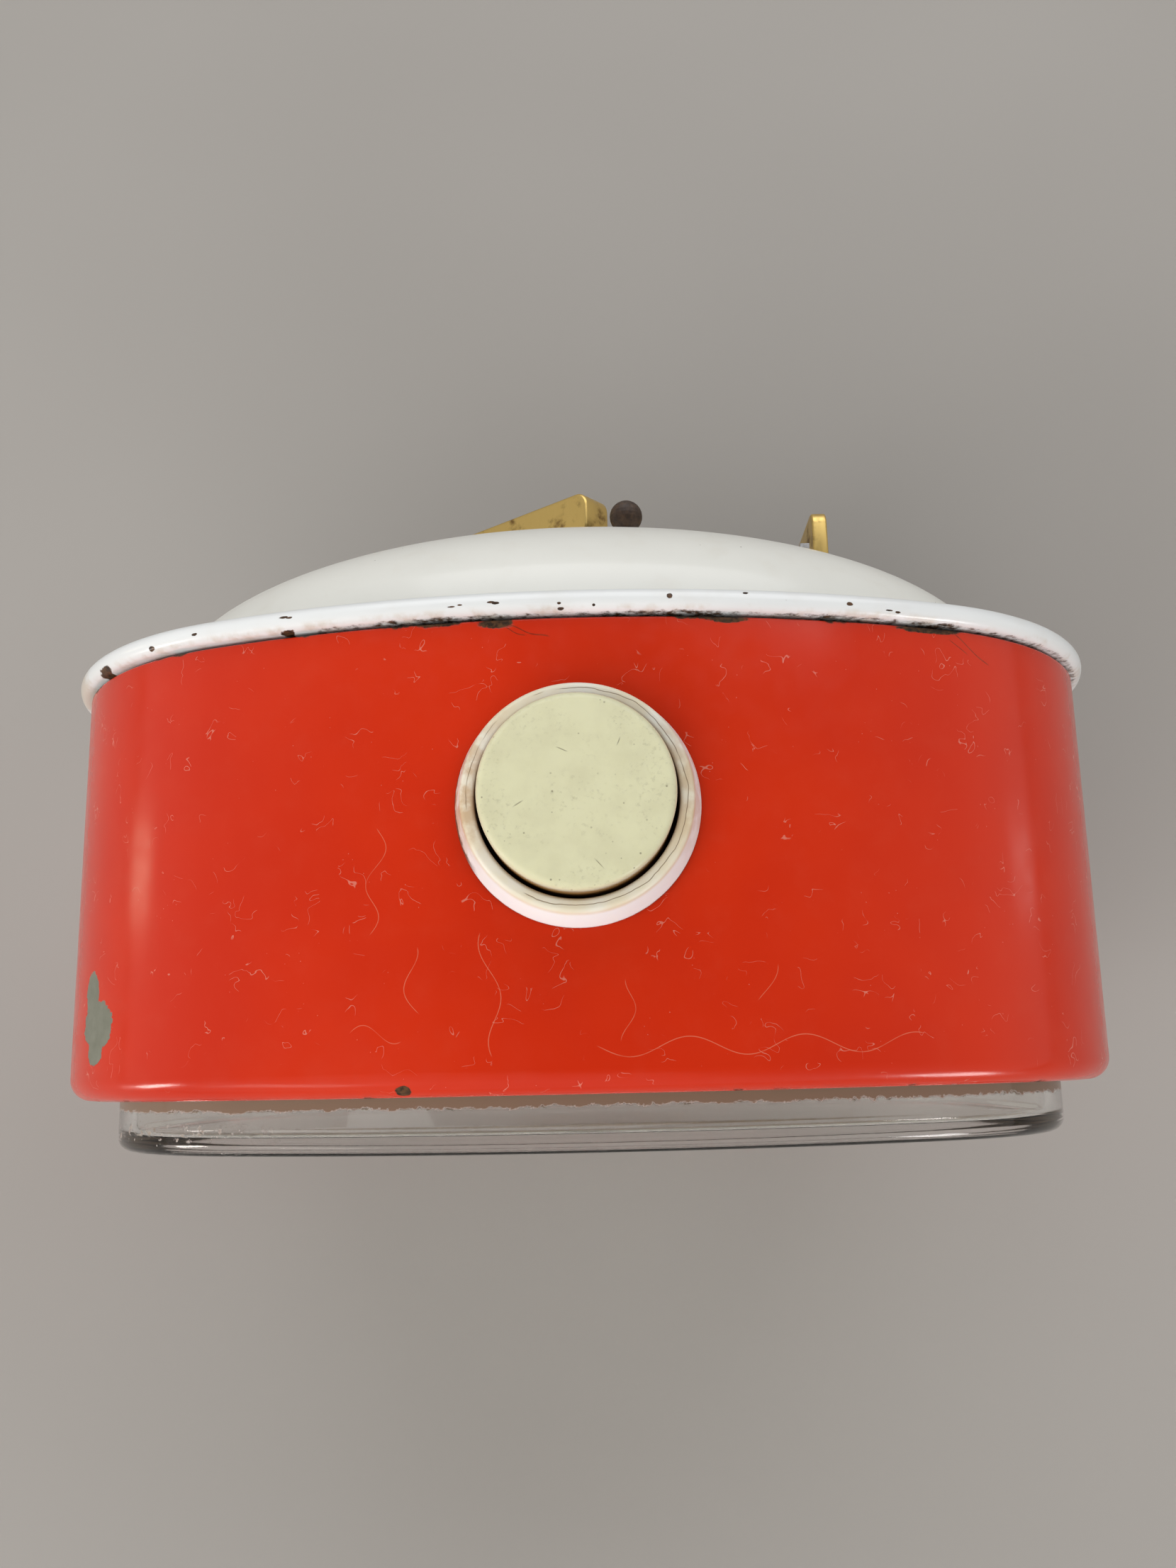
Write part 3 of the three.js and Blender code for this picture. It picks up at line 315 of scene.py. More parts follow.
def red_enamel():
    g = Graph("red_enamel")
    x, y, z = g.axis("X"), g.axis("Y"), g.axis("Z")
    upper = g.step(z, ORIGIN_Z + 20, ORIGIN_Z + 26)
    drift = g.step(g.noise(0.045, 3), 0.3, 0.7)
    paint = g.blend(drift, (0.60, 0.028, 0.004), (0.55, 0.022, 0.003))
    film = g.step(g.noise(0.35, 6, 0.6), 0.45, 0.8)
    paint = g.blend(g.times(film, 0.06), paint, (0.60, 0.10, 0.05))
    specks = g.times(g.step(g.cells(1.3), 0.03, 0.07, 1, 0), g.step(g.noise(0.2, 2), 0.5, 0.62))
    fibre_field = g.calc("ABSOLUTE", g.minus(g.noise(0.5, 1.5, 0.5, 0.6), 0.5))
    fibres = g.times(g.step(fibre_field, 0.002, 0.006, 1, 0),
                    g.step(g.noise(0.36, 1), 0.59, 0.63))
    lint = g.times(g.most(specks, fibres), 0.42)
    paint = g.blend(lint, paint, (0.74, 0.36, 0.27))
    wave = g.strand(y, x, (-27.4, 0.0, 0.75, 0.67, 2.2), (1, 28), 0.05)
    hairs = g.most(wave, g.strand(x, y, (-9.5, -0.1, 0.7, 0.8, 1.2), (-28, -18), 0.05),
                   g.strand(x, y, (-18.0, -0.2, 0.9, 0.9, 0.0), (-24.5, -19), 0.05),
                   g.strand(x, y, (-15.6, 0.1, 0.7, 1.1, 1.0), (-18, -9), 0.045),
                   g.strand(y, x, (-24.3, 0.1, 0.9, 1.1, 2.4), (-19, -14.5), 0.045),
                   g.strand(x, y, (6.2, 0.1, 0.5, 1.3, 2.0), (-27, -22), 0.045),
                   g.strand(x, y, (24.0, 0.4, 0.5, 1.1, 0.5), (-24, -21), 0.045))
    hairs = g.times(hairs, upper, g.step(g.noise(0.5, 3), 0.3, 0.6, 0.2, 0.5))
    paint = g.blend(hairs, paint, (0.72, 0.24, 0.14))
    ragged = g.noise(0.9, 5, 0.65)
    rear = BAND_DEPTH - ORIGIN_Y
    patches = g.step(g.noise(0.16, 2), 0.55, 0.66, 0.0, 0.4)
    creep = g.plus(g.plus(y, g.times(ragged, 0.8)), patches)
    rust = g.step(creep, rear + 0.42, rear + 0.58)
    smears = g.most(g.spot((12.9, 39.25, 43.4), (1.9, 0.4, 2.0), ragged, 0.6, 0.12),
                    g.spot((31.2, 39.2, 39.0), (3.0, 0.35, 3.0), ragged, 0.6, 0.12),
                    g.spot((-6.6, 39.1, 43.9), (1.5, 0.5, 2.0), ragged, 0.6, 0.12))
    front = g.plus(y, g.times(ragged, -0.5))
    grime_and_painted_shade = g.step(front, -ORIGIN_Y - 0.28, -ORIGIN_Y + 0.02, 1, 0)
    grime_and_painted_shade = g.times(grime_and_painted_shade, g.step(g.noise(0.35, 5, 0.65), 0.56, 0.66))
    dark_strands = g.most(g.strand(y, x, (5.9, -0.34, 0.12, 2.1, 0.0), (-6.9, -2.0), 0.08),
                          g.strand(y, x, (5.0, -0.45, 0.1, 2.9, 0.0), (-6.4, -4.0), 0.07),
                          g.strand(y, x, (32.9, -0.74, 0.12, 1.7, 0.4), (33.3, 37.1), 0.09),
                          g.strand(y, x, (33.4, -0.78, 0.1, 1.1, 0.4), (33.0, 35.0), 0.07))
    dark_strands = g.times(dark_strands, upper, 0.55)
    primer = g.most(g.spot((-43.7, 6.7, 30.6), (3.0, 2.2, 3.0), ragged, 0.4, 0.03),
                    g.spot((-44.7, 9.3, 29.6), (1.5, 2.2, 1.5), ragged, 0.4, 0.04),
                    g.spot((-43.9, 4.5, 30.4), (1.5, 1.3, 1.5), ragged, 0.4, 0.04))
    edge_chip = g.spot((-14.5, 0.45, 43.0), (0.72, 0.55, 1.6), ragged, 0.3, 0.06)
    dark = g.most(rust, smears, grime_and_painted_shade, edge_chip, dark_strands)
    paint = g.blend(dark, paint, rust_tone(g))
    primer_colour = g.blend(g.noise(0.8, 5), (0.13, 0.135, 0.10), (0.23, 0.235, 0.19))
    paint = g.blend(primer, paint, primer_colour)
    worn = g.most(rust, smears, grime_and_painted_shade, primer, edge_chip)
    shine = g.plus(g.step(g.noise(0.5, 6), 0.3, 0.8, 0.15, 0.26), g.times(worn, 0.45))
    relief = g.minus(g.times(g.noise(1.6, 3), 0.05), worn)
    normal = g.bump(relief, 0.00006, 0.6)
    return g.finish(Base_Color=paint, Roughness=shine, Normal=normal, Coat_Weight=0.1, Coat_Roughness=0.12,
                    Specular_IOR_Level=0.3)


def white_enamel():
    g = Graph("white_enamel")
    y = g.axis("Y")
    dome = g.step(y, RIM_REAR - ORIGIN_Y + 0.4, RIM_REAR - ORIGIN_Y + 3)
    tone = g.step(g.noise(0.06, 3), 0.3, 0.7)
    paint = g.blend(tone, (0.80, 0.83, 0.84), (0.77, 0.80, 0.81))
    paint = g.blend(dome, paint, g.blend(tone, (0.84, 0.85, 0.80), (0.81, 0.82, 0.77)))
    ragged = g.noise(1.3, 5, 0.65)
    edge = RIM_FRONT - ORIGIN_Y
    heavy = g.step(g.axis("X"), -25, -21, 0.3, 1.0)
    patches = g.times(g.step(g.noise(0.16, 2), 0.5, 0.66, 0.0, 0.05), heavy)
    wander = g.times(ragged, 0.42, heavy)
    seam = g.step(g.minus(g.minus(y, wander), patches), edge - 0.3, edge - 0.17, 1, 0)
    chips = rim_chips(g, ragged, (
        (-44.8, 39.8, 0.95, 0.5), (-38.5, 40.1, 0.38, 0.22), (-33.9, 40.5, 0.28, 0.13),
        (-25.2, 40.85, 0.42, 0.13), (-24.7, 40.75, 0.38, 0.12), (-25.0, 39.65, 0.7, 0.2),
        (-10.4, 40.4, 0.35, 0.08), (-9.6, 40.5, 0.25, 0.09), (-7.0, 40.6, 0.35, 0.12),
        (-6.6, 40.5, 0.35, 0.13), (-1.2, 40.3, 0.2, 0.13), (-1.1, 39.9, 0.3, 0.12),
        (1.7, 40.1, 0.16, 0.13), (8.1, 40.8, 0.3, 0.26), (14.6, 41.2, 0.28, 0.16),
        (23.7, 40.6, 0.32, 0.19), (27.3, 40.3, 0.4, 0.1), (28.1, 40.2, 0.3, 0.12)))
    stain = g.times(g.step(g.noise(0.25, 4), 0.5, 0.75), 0.06)
    near_seam = g.times(g.step(y, edge + 0.1, edge + 0.7, 1, 0), g.step(g.noise(0.5, 4), 0.45, 0.7, 0, 0.4))
    left_end = g.spot((-50.5, 40.5, 22.0), (3.5, 2.0, 6.0), ragged, 0.5, 0.4)
    paint = g.blend(g.most(stain, near_seam, g.times(left_end, 0.5)), paint, (0.46, 0.32, 0.16))
    pin_pricks = g.times(g.step(g.cells(0.55), 0.03, 0.05, 1, 0), g.step(g.noise(0.2, 2), 0.56, 0.62))
    worn = g.most(seam, chips, pin_pricks)
    paint = g.blend(worn, paint, rust_tone(g))
    shine = g.plus(g.times(worn, 0.45), 0.28)
    relief = g.times(worn, -1.0)
    return g.finish(Base_Color=paint, Roughness=shine, Normal=g.bump(relief, 0.00005, 0.5),
                    Coat_Weight=0.25, Coat_Roughness=0.12)


def clear_acrylic():
    g = Graph("clear_acrylic")
    stretched = g.node("ShaderNodeMapping", Vector=g.mm, Scale=(0.15, 1.0, 2.4)).outputs["Vector"]
    scratches = g.noise(3.0, 2, 0.5, vector=stretched)
    haze = g.step(scratches, 0.55, 0.75, 0.03, 0.14)
    y = g.axis("Y")
    grit = g.times(g.step(g.cells(1.1), 0.08, 0.14, 1, 0), g.step(g.noise(0.4, 3), 0.5, 0.6))
    by_lip = g.step(g.plus(y, g.times(g.noise(0.8, 5, 0.7), 1.5)), -ORIGIN_Y - 0.35, -ORIGIN_Y - 0.1)
    left = g.step(g.axis("X"), -34, -22, 1, 0)
    corner = g.times(left, g.step(g.axis("Z"), ORIGIN_Z + 15, ORIGIN_Z + 22))
    front = CRYSTAL_FRONT - ORIGIN_Y
    strip = g.times(g.step(y, front + 1.1, front + 1.8), g.step(y, front + 2.6, front + 3.2, 1, 0))
    fluff = g.times(g.step(g.noise(0.9, 5, 0.7), 0.54, 0.64), corner, strip)
    dirt = g.most(g.times(grit, 0.5, corner), g.times(by_lip, 0.9), g.times(fluff, 0.8))
    tint = g.blend(dirt, (0.985, 0.985, 0.975), (0.17, 0.095, 0.035))
    clear = g.step(dirt, 0.1, 0.8, 1.0, 0.05)
    return g.finish(Base_Color=tint, Roughness=g.most(haze, g.times(dirt, 0.6)), IOR=1.12,
                    Transmission_Weight=clear, Normal=g.bump(scratches, 0.00001, 0.2), Coat_Weight=0.6)


def aged_ivory():
    g = Graph("aged_ivory")
    top = HALF_HEIGHT + ORIGIN_Z
    x = g.axis("X")
    y = g.minus(g.axis("Y"), BUTTON_Y - ORIGIN_Y)
    z = g.axis("Z")
    radius = g.calc("SQRT", g.plus(g.times(x, x), g.times(y, y)))
    waver = g.times(g.minus(g.noise(0.25, 3), 0.5), 0.8)
    base = g.blend(g.noise(0.3, 4), (0.87, 0.94, 0.95), (0.90, 0.96, 0.97))
    crown = g.step(z, top + 2.9, top + 3.7)
    yellowed = g.times(crown, g.step(g.noise(0.12, 3), 0.38, 0.62, 0.45, 0.95))
    base = g.blend(yellowed, base, (0.74, 0.66, 0.47))
    left = g.step(g.plus(x, g.times(g.noise(0.5, 5), 3.0)), -7.5, -3.5, 1, 0)
    right = g.step(g.minus(x, g.times(g.noise(0.4, 5), 3.0)), 4.8, 6.4)
    sides = g.times(g.most(left, g.times(right, 0.55)), g.step(y, -6.5, -1.0))
    sides = g.times(sides, g.step(g.noise(0.7, 5), 0.35, 0.6, 0.1, 0.75))
    base = g.blend(sides, base, (0.50, 0.32, 0.16))
    crack_line = g.calc("ABSOLUTE", g.minus(g.plus(radius, waver), 8.82))
    crack = g.times(g.step(crack_line, 0.012, 0.05, 1, 0), crown, g.step(g.noise(0.13, 3), 0.38, 0.46))
    grime_and_painted_shade = g.step(g.plus(z, g.times(g.noise(1.5, 4), -0.5)), top - 0.4, top + 0.05, 1, 0)
    fluff = g.step(g.plus(z, g.times(g.noise(1.1, 5), -2.2)), top - 0.4, top + 0.3, 1, 0)
    fluff = g.times(fluff, g.step(x, -9.3, -8.0, 1, 0))
    # Painted shade: the collar's inner wall, down in the gap round the cap, is painted brown for the shade
    # there.
    inside = g.times(g.step(radius, 8.2, 8.32, 1, 0), g.step(z, top + 3.1, top + 3.7, 1, 0))
    base = g.blend(g.times(crack, 0.75), base, (0.20, 0.13, 0.07))
    dirt = g.blend(g.noise(1.4, 4), (0.05, 0.028, 0.014), (0.16, 0.10, 0.055))
    base = g.blend(g.most(grime_and_painted_shade, fluff), base, dirt)
    # Painted shade on the collar's inner wall in the gap round the cap.
    base = g.blend(g.times(inside, 0.85), base, (0.30, 0.17, 0.08))
    relief = g.minus(g.times(g.noise(2.0, 3), 0.06), crack)
    return g.finish(Base_Color=base, Roughness=0.38, Normal=g.bump(relief, 0.00006, 0.5),
                    Subsurface_Weight=0.12, Subsurface_Radius=(0.001, 0.0008, 0.0005), Subsurface_Scale=1.0)


def cream_plastic():
    g = Graph("cream_plastic")
    top = HALF_HEIGHT + ORIGIN_Z
    x, z = g.axis("X"), g.axis("Z")
    y = g.minus(g.axis("Y"), BUTTON_Y - ORIGIN_Y)
    tone = g.step(g.noise(0.35, 5), 0.35, 0.7)
    base = g.blend(tone, (0.69, 0.685, 0.46), (0.64, 0.63, 0.42))
    rubbed = g.step(z, top + 5.4, top + 6.5, 1, 0)
    base = g.blend(g.times(rubbed, 0.6), base, (0.72, 0.75, 0.62))
    mottles = g.times(g.step(g.noise(2.4, 6, 0.75), 0.53, 0.66), g.step(g.noise(0.22, 3), 0.42, 0.6))
    base = g.blend(g.times(mottles, 0.32), base, (0.36, 0.35, 0.22))
    pin_pricks = g.times(g.step(g.cells(1.1), 0.06, 0.12, 1, 0), g.step(g.noise(0.35, 2), 0.46, 0.56))
    flecks = g.most(g.strand(y, x, (1.6, 0.6, 0.0, 1.0, 0.0), (-5.0, -4.0), 0.07),
                    g.strand(y, x, (-4.4, -0.9, 0.1, 2.0, 0.0), (1.2, 2.1), 0.07),
                    g.strand(x, y, (2.2, 0.3, 0.1, 2.0, 0.0), (3.2, 4.1), 0.06),
                    g.strand(y, x, (2.9, -0.2, 0.1, 3.0, 0.0), (-1.6, -0.5), 0.06))
    base = g.blend(g.times(g.most(pin_pricks, flecks), 0.6), base, (0.11, 0.09, 0.05))
    # Painted shade: the cap's lower side wall turns brown towards its foot inside the collar, standing in
    # for the shade in the gap.
    grime_and_painted_shade = g.step(g.plus(z, g.times(g.noise(0.8, 4), -0.9)), top + 3.9, top + 5.9, 1, 0)
    base = g.blend(grime_and_painted_shade, base, (0.24, 0.125, 0.04))
    relief = g.plus(g.times(g.noise(3.0, 4), 0.2), mottles)
    return g.finish(Base_Color=base, Roughness=g.step(g.noise(0.8, 4), 0.3, 0.7, 0.34, 0.46),
                    Normal=g.bump(relief, 0.00002, 0.5), Subsurface_Weight=0.12,
                    Subsurface_Radius=(0.001, 0.0009, 0.0005), Subsurface_Scale=1.0)


def metal(name, bright, dark, roughness, grain=(1.0, 1.0, 1.0), tarnish=(0.45, 0.65)):
    g = Graph(name)
    stretched = g.node("ShaderNodeMapping", Vector=g.mm, Scale=grain).outputs["Vector"]
    brushed = g.noise(2.5, 4, 0.6, vector=stretched)
    patina = g.step(g.noise(0.35, 6, 0.62), *tarnish)
    colour = g.blend(patina, bright, dark)
    shine = g.plus(g.step(brushed, 0.3, 0.7, roughness - 0.06, roughness + 0.08),
                   g.times(patina, 0.18))
    return g.finish(Base_Color=colour, Roughness=shine, Metallic=1.0, Normal=g.bump(brushed, 0.00001, 0.3))


def plastic(name, colour, second, roughness, scale=1.5):
    g = Graph(name)
    grain = g.noise(scale, 5, 0.6)
    return g.finish(Base_Color=g.blend(g.step(grain, 0.35, 0.7), colour, second),
                    Roughness=g.step(g.noise(scale * 0.6, 4), 0.3, 0.7, roughness - 0.06, roughness + 0.08),
                    Normal=g.bump(g.noise(scale * 4, 4), 0.00003, 0.4))


# ---------- mesh helpers
def link(name, mesh, body, replaced, material, smooth_angle=40):
    piece = bpy.data.objects.new(name, mesh)
    bpy.context.collection.objects.link(piece)
    piece.data.materials.clear()
    piece.data.materials.append(material)
    shade(piece, smooth_angle)
    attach(piece, body)
    if replaced:
        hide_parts(*replaced)
    return piece


def shade(piece, smooth_angle):
    mesh = piece.data
    mesh.polygons.foreach_set("use_smooth", [True] * len(mesh.polygons))
    mesh.set_sharp_from_angle(angle=math.radians(smooth_angle))


def fillet(corners, closed=True, steps=6):
    """Rounds a polyline: each corner is (u, v, radius)."""
    count = len(corners)
    rounded = []
    for i, (u, v, radius) in enumerate(corners):
        here = Vector((u, v))
        if radius == 0 or (not closed and i in (0, count - 1)):
            rounded.append(here)
            continue
        before = Vector(corners[i - 1][:2]) - here
        after = Vector(corners[(i + 1) % count][:2]) - here
        half = before.angle(after) / 2
        cut = min(radius / math.tan(half), before.length * 0.49, after.length * 0.49)
        true_radius = cut * math.tan(half)
        start, end = here + before.normalized() * cut, here + after.normalized() * cut
        bisector = (before.normalized() + after.normalized()).normalized()
        centre = here + bisector * (true_radius / math.sin(half))
        for k in range(steps + 1):
            spoke = (start - centre).slerp(end - centre, k / steps)
            rounded.append(centre + spoke.normalized() * true_radius)
    return [(point.x, point.y) for point in rounded]


def corner_centre():
    top = Vector((0, HALF_HEIGHT - TOP_ARC))
    side = Vector((HALF_WIDTH - SIDE_ARC, 0))
    reach_top, reach_side = TOP_ARC - CORNER_ARC, SIDE_ARC - CORNER_ARC
    line = side - top
    gap = line.length
    along = (reach_top ** 2 - reach_side ** 2 + gap ** 2) / (2 * gap)
    across = math.sqrt(reach_top ** 2 - along ** 2)
    line.normalize()
    return top + line * along + Vector((line.y, -line.x)) * across


CORNER = corner_centre()
SIDE_END = math.atan2(CORNER.y, CORNER.x - (HALF_WIDTH - SIDE_ARC))
TOP_START = math.atan2(CORNER.y - (HALF_HEIGHT - TOP_ARC), CORNER.x)


def arc(cx, cz, radius, start, end, steps):
    angles = [start + (end - start) * i / steps for i in range(steps)]
    return [(cx + radius * math.cos(a), cz + radius * math.sin(a)) for a in angles]


def outline(inset):
    """The cushion outline of the case, moved inwards, counter-clockwise from +X."""
    side_steps, corner_steps, top_steps = QUARTER_STEPS
    quarter = arc(HALF_WIDTH - SIDE_ARC, 0, SIDE_ARC - inset, 0, SIDE_END, side_steps)
    quarter += arc(CORNER.x, CORNER.y, CORNER_ARC - inset, SIDE_END, TOP_START, corner_steps)
    quarter += arc(0, HALF_HEIGHT - TOP_ARC, TOP_ARC - inset, TOP_START, math.pi / 2, top_steps)
    quarter.append((0, HALF_HEIGHT - inset))
    back = quarter[-2::-1]
    return (quarter + [(-x, z) for x, z in back] + [(-x, -z) for x, z in quarter[1:]]
            + [(x, -z) for x, z in back[:-1]])


def skin(name, rings, tips=None):
    """A closed mesh over rings of equal length; two tips close its ends, or the last meets the first."""
    count = len(rings[0])
    points = [place(*point) for ring in rings for point in ring]
    faces = []
    for i in range(len(rings) if tips is None else len(rings) - 1):
        near, far = i * count, ((i + 1) % len(rings)) * count
        faces += [(near + k, near + (k + 1) % count, far + (k + 1) % count, far + k) for k in range(count)]
    if tips is not None:
        last = (len(rings) - 1) * count
        points += [place(*tip) for tip in tips]
        first_tip, last_tip = len(points) - 2, len(points) - 1
        faces += [(first_tip, (k + 1) % count, k) for k in range(count)]
        faces += [(last_tip, last + k, last + (k + 1) % count) for k in range(count)]
    mesh = bpy.data.meshes.new(name)
    mesh.from_pydata(points, [], faces)
    face_out(mesh)
    return mesh


def face_out(mesh):
    working = bmesh.new()
    working.from_mesh(mesh)
    bmesh.ops.recalc_face_normals(working, faces=working.faces)
    working.to_mesh(mesh)
    working.free()


def cushion_rings(profile):
    return [[(x, y, z) for x, z in outline(inset)] for inset, y in profile]


def lathe(name, profile, axis, steps=ROUND_STEPS, upright=False):
    """Turns (radius, height) points about the Y axis at (x, z), or about Z at (x, y) when upright."""
    def ring(radius, height):
        turn = [2 * math.pi * k / steps for k in range(steps)]
        if upright:
            return [(axis[0] + radius * math.cos(a), axis[1] + radius * math.sin(a), height) for a in turn]
        return [(axis[0] + radius * math.cos(a), height, axis[1] + radius * math.sin(a)) for a in turn]

    ends = [profile[0], profile[-1]]
    if ends[0][0] == 0 and ends[1][0] == 0:
        tips = [(axis[0], axis[1], h) if upright else (axis[0], h, axis[1]) for _, h in ends]
        return skin(name, [ring(*point) for point in profile[1:-1]], tips)
    return skin(name, [ring(*point) for point in profile])


def carve(mesh, cutters):
    """Cuts closed meshes out of a mesh."""
    body = bpy.data.objects.new("carved", mesh)
    bpy.context.collection.objects.link(body)
    tools = []
    for cutter in cutters:
        tool = bpy.data.objects.new("cutter", cutter)
        bpy.context.collection.objects.link(tool)
        modifier = body.modifiers.new("cut", "BOOLEAN")
        modifier.object = tool
        modifier.solver = "EXACT"
        tools.append(tool)
    evaluated = body.evaluated_get(bpy.context.evaluated_depsgraph_get())
    result = bpy.data.meshes.new_from_object(evaluated)
    for unused in (body, *tools):
        bpy.data.objects.remove(unused)
    return result


def cylinder(radius, start, end, axis, upright=False, steps=48):
    return lathe("cutter", [(0, start), (radius, start), (radius, end), (0, end)], axis, steps, upright)


def slab(name, outline_points, thickness, bevel, to_world):
    """Extrudes an outline of (u, v) points to both sides of a plane and rounds its edges."""
    working = bmesh.new()
    bottom = [working.verts.new((u, v, -thickness / 2)) for u, v in outline_points]
    face = working.faces.new(bottom)
    lifted = bmesh.ops.extrude_face_region(working, geom=[face])
    top = [item for item in lifted["geom"] if isinstance(item, bmesh.types.BMVert)]
    bmesh.ops.translate(working, verts=top, vec=(0, 0, thickness))
    bmesh.ops.recalc_face_normals(working, faces=working.faces)
    if bevel:
        edges = [e for e in working.edges if len(e.link_faces) == 2 and e.calc_face_angle() > 0.9]
        bmesh.ops.bevel(working, geom=edges, offset=bevel, segments=4, profile=0.5, affect="EDGES")
    for vertex in working.verts:
        vertex.co = to_world(vertex.co)
    bmesh.ops.recalc_face_normals(working, faces=working.faces)
    mesh = bpy.data.meshes.new(name)
    working.to_mesh(mesh)
    working.free()
    return mesh


def join_meshes(name, *meshes):
    working = bmesh.new()
    for mesh in meshes:
        working.from_mesh(mesh)
    joined = bpy.data.meshes.new(name)
    working.to_mesh(joined)
    working.free()
    return joined


def node_centre(node):
    """The centre of a CAD node's box, in mm from the dial centre and the band's front plane."""
    low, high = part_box(node)
    middle = [(a + b) / 2 / MM for a, b in zip(low, high)]
    return middle[0], middle[1] + ORIGIN_Y, middle[2] - ORIGIN_Z


# ---------- case
def make_band():
    profile = fillet([(0, BAND_DEPTH, 0.2), (0, 0, 2.9), (4.2, 0, 0.35), (4.2, WALL, 0.3),
                      (WALL, WALL, 2.0), (WALL, BAND_DEPTH, 0.2)], steps=8)
    shell = skin("band", cushion_rings(profile))
    hole = cylinder(BUTTON_HOLE, HALF_HEIGHT - 6, HALF_HEIGHT + 4, (0, BUTTON_Y), upright=True, steps=96)
    pegs = [cylinder(FOOT_PEG, -HALF_HEIGHT - 4, -HALF_HEIGHT + 8, spot, upright=True)
            for spot in FOOT_PEG_PLACES]
    link("band", carve(shell, [hole, *pegs]), "case", ["case_band"], red_enamel(), 50)


def dome_point(angle_point, scale, lift):
    x, z = angle_point
    reach = scale / math.hypot(x / DOME_HALF_WIDTH, z / DOME_HALF_HEIGHT)
    return x * reach, DOME_BASE + lift, z * reach


def dome_profile(offset):
    """(scale, lift) from near the apex down a short wall to the flat border, rounding the dome's foot."""
    profile = []
    for i in range(1, 30):
        scale = math.sin(math.radians(2.7 * i))
        profile.append((scale, DOME_RISE * math.sqrt(1 - scale ** 2) - offset))
    foot = RIM_REAR - DOME_BASE
    profile += [(0.991, 2.0 - offset), (0.9975, 1.1 - offset), (1.001, 0.2 - offset), (1.004, -0.6 - offset)]
    for i in range(1, 9):
        angle = math.radians(10 + 10 * i)
        profile.append((1.025 - 0.019 * math.cos(angle), foot + 0.85 - 0.85 * math.sin(angle) - offset))
    return profile


def make_cover():
    around = outline(4.0)
    outside = [[dome_point(point, scale, lift) for point in around] for scale, lift in dome_profile(0)]
    lip_front = BAND_DEPTH - 4.5
    bead = fillet([(1.7, RIM_REAR, 0), (-1.1, RIM_REAR, 1.05), (-1.1, RIM_FRONT, 0.95),
                   (WALL + 0.35, RIM_FRONT, 0.2), (WALL + 0.35, lip_front, 0.2),
                   (WALL + 1.05, lip_front, 0.2), (WALL + 1.05, RIM_REAR - COVER_WALL, 0.4),
                   (3.0, RIM_REAR - COVER_WALL, 0)],
                  closed=False, steps=8)
    inside = [[dome_point(point, scale * 0.986, lift) for point in around]
              for scale, lift in reversed(dome_profile(COVER_WALL)) if scale < 1.015]
    rings = outside + cushion_rings(bead) + inside
    apex = DOME_BASE + DOME_RISE
    shell = skin("cover", rings, [(0, apex, 0), (0, apex - COVER_WALL, 0)])
    holes = [("time_winding_key", 3.2), ("alarm_winding_key", 3.2), ("time_set_shaft", 1.6),
             ("alarm_set_shaft", 1.9), ("cover_screw_left", 1.5), ("cover_screw_right", 1.5)]
    cutters = []
    for node, radius in holes:
        x, _, z = node_centre(node)
        cutters.append(cylinder(radius, BAND_DEPTH, 70, (x, z)))
    cutters.append(regulator_slot())
    link("cover", carve(shell, cutters), "case", ["rear_cover"], white_enamel(), 50)


def regulator_slot():
    x, _, z = node_centre("balance_wheel")
    half = math.radians(SLOT_HALF_ANGLE)
    steps = 16

    def side(radius, turn):
        angles = [turn * (half - 2 * half * k / steps) - math.pi / 2 for k in range(steps + 1)]
        return [(x + radius * math.cos(a), z + radius * math.sin(a)) for a in angles]

    inner, outer = BALANCE_SLOT
    points = side(outer, 1) + side(inner, -1)
    return slab("cutter", points, 30, 0, lambda co: place(co.x, 55 - co.z, co.y))


def make_crystal():
    outer, inner, flange = 4.6, 6.2, 3.2
    inside = CRYSTAL_FRONT + 1.6
    profile = fillet([(outer + 14, CRYSTAL_FRONT, 0), (outer, CRYSTAL_FRONT + 0.25, 1.3), (outer, 1.2, 0.15),
                      (flange, 1.2, 0.2), (flange, 2.3, 0.2), (inner, 2.3, 0.2),
                      (inner + 0.05, inside + 0.15, 0.9), (inner + 12, inside, 0)],
                     closed=False, steps=8)
    mesh = skin("crystal_lens", cushion_rings(profile), [(0, CRYSTAL_FRONT, 0), (0, inside, 0)])
    link("crystal_lens", mesh, "case", ["crystal"], clear_acrylic(), 60)


# ---------- push button
def make_button():
    top = HALF_HEIGHT
    collar = fillet([(8.2, top - 3.6, 0.1), (9.0, top - 3.6, 0.1), (9.0, top - 0.95, 0),
                     (10.15, top - 0.6, 0.1), (10.1, top + 0.35, 0.4), (9.3, top + 3.9, 0.5),
                     (8.2, top + 4.05, 0.28)], steps=8)
    mesh = lathe("collar", collar, (0, BUTTON_Y), upright=True)
    link("collar", mesh, "case", ["button_collar"], aged_ivory(), 50)
    rise = top + 6.7
    cap = fillet([(0, rise, 0), (4, rise, 0), (7.85, rise - 0.1, 0.65), (7.85, top - 4.2, 0.1),
                  (8.9, top - 4.2, 0.1), (8.9, top - 5.2, 0.1), (6.35, top - 5.2, 0.1),
                  (6.35, rise - 2.4, 0.3), (1.6, rise - 2.4, 0.3), (1.6, top - 10.8, 0.5),
                  (0, top - 11, 0)], closed=False, steps=10)
    mesh = lathe("button_cap", cap, (0, BUTTON_Y), upright=True)
    link("button_cap", mesh, "button", ["stop_button"], cream_plastic(), 50)


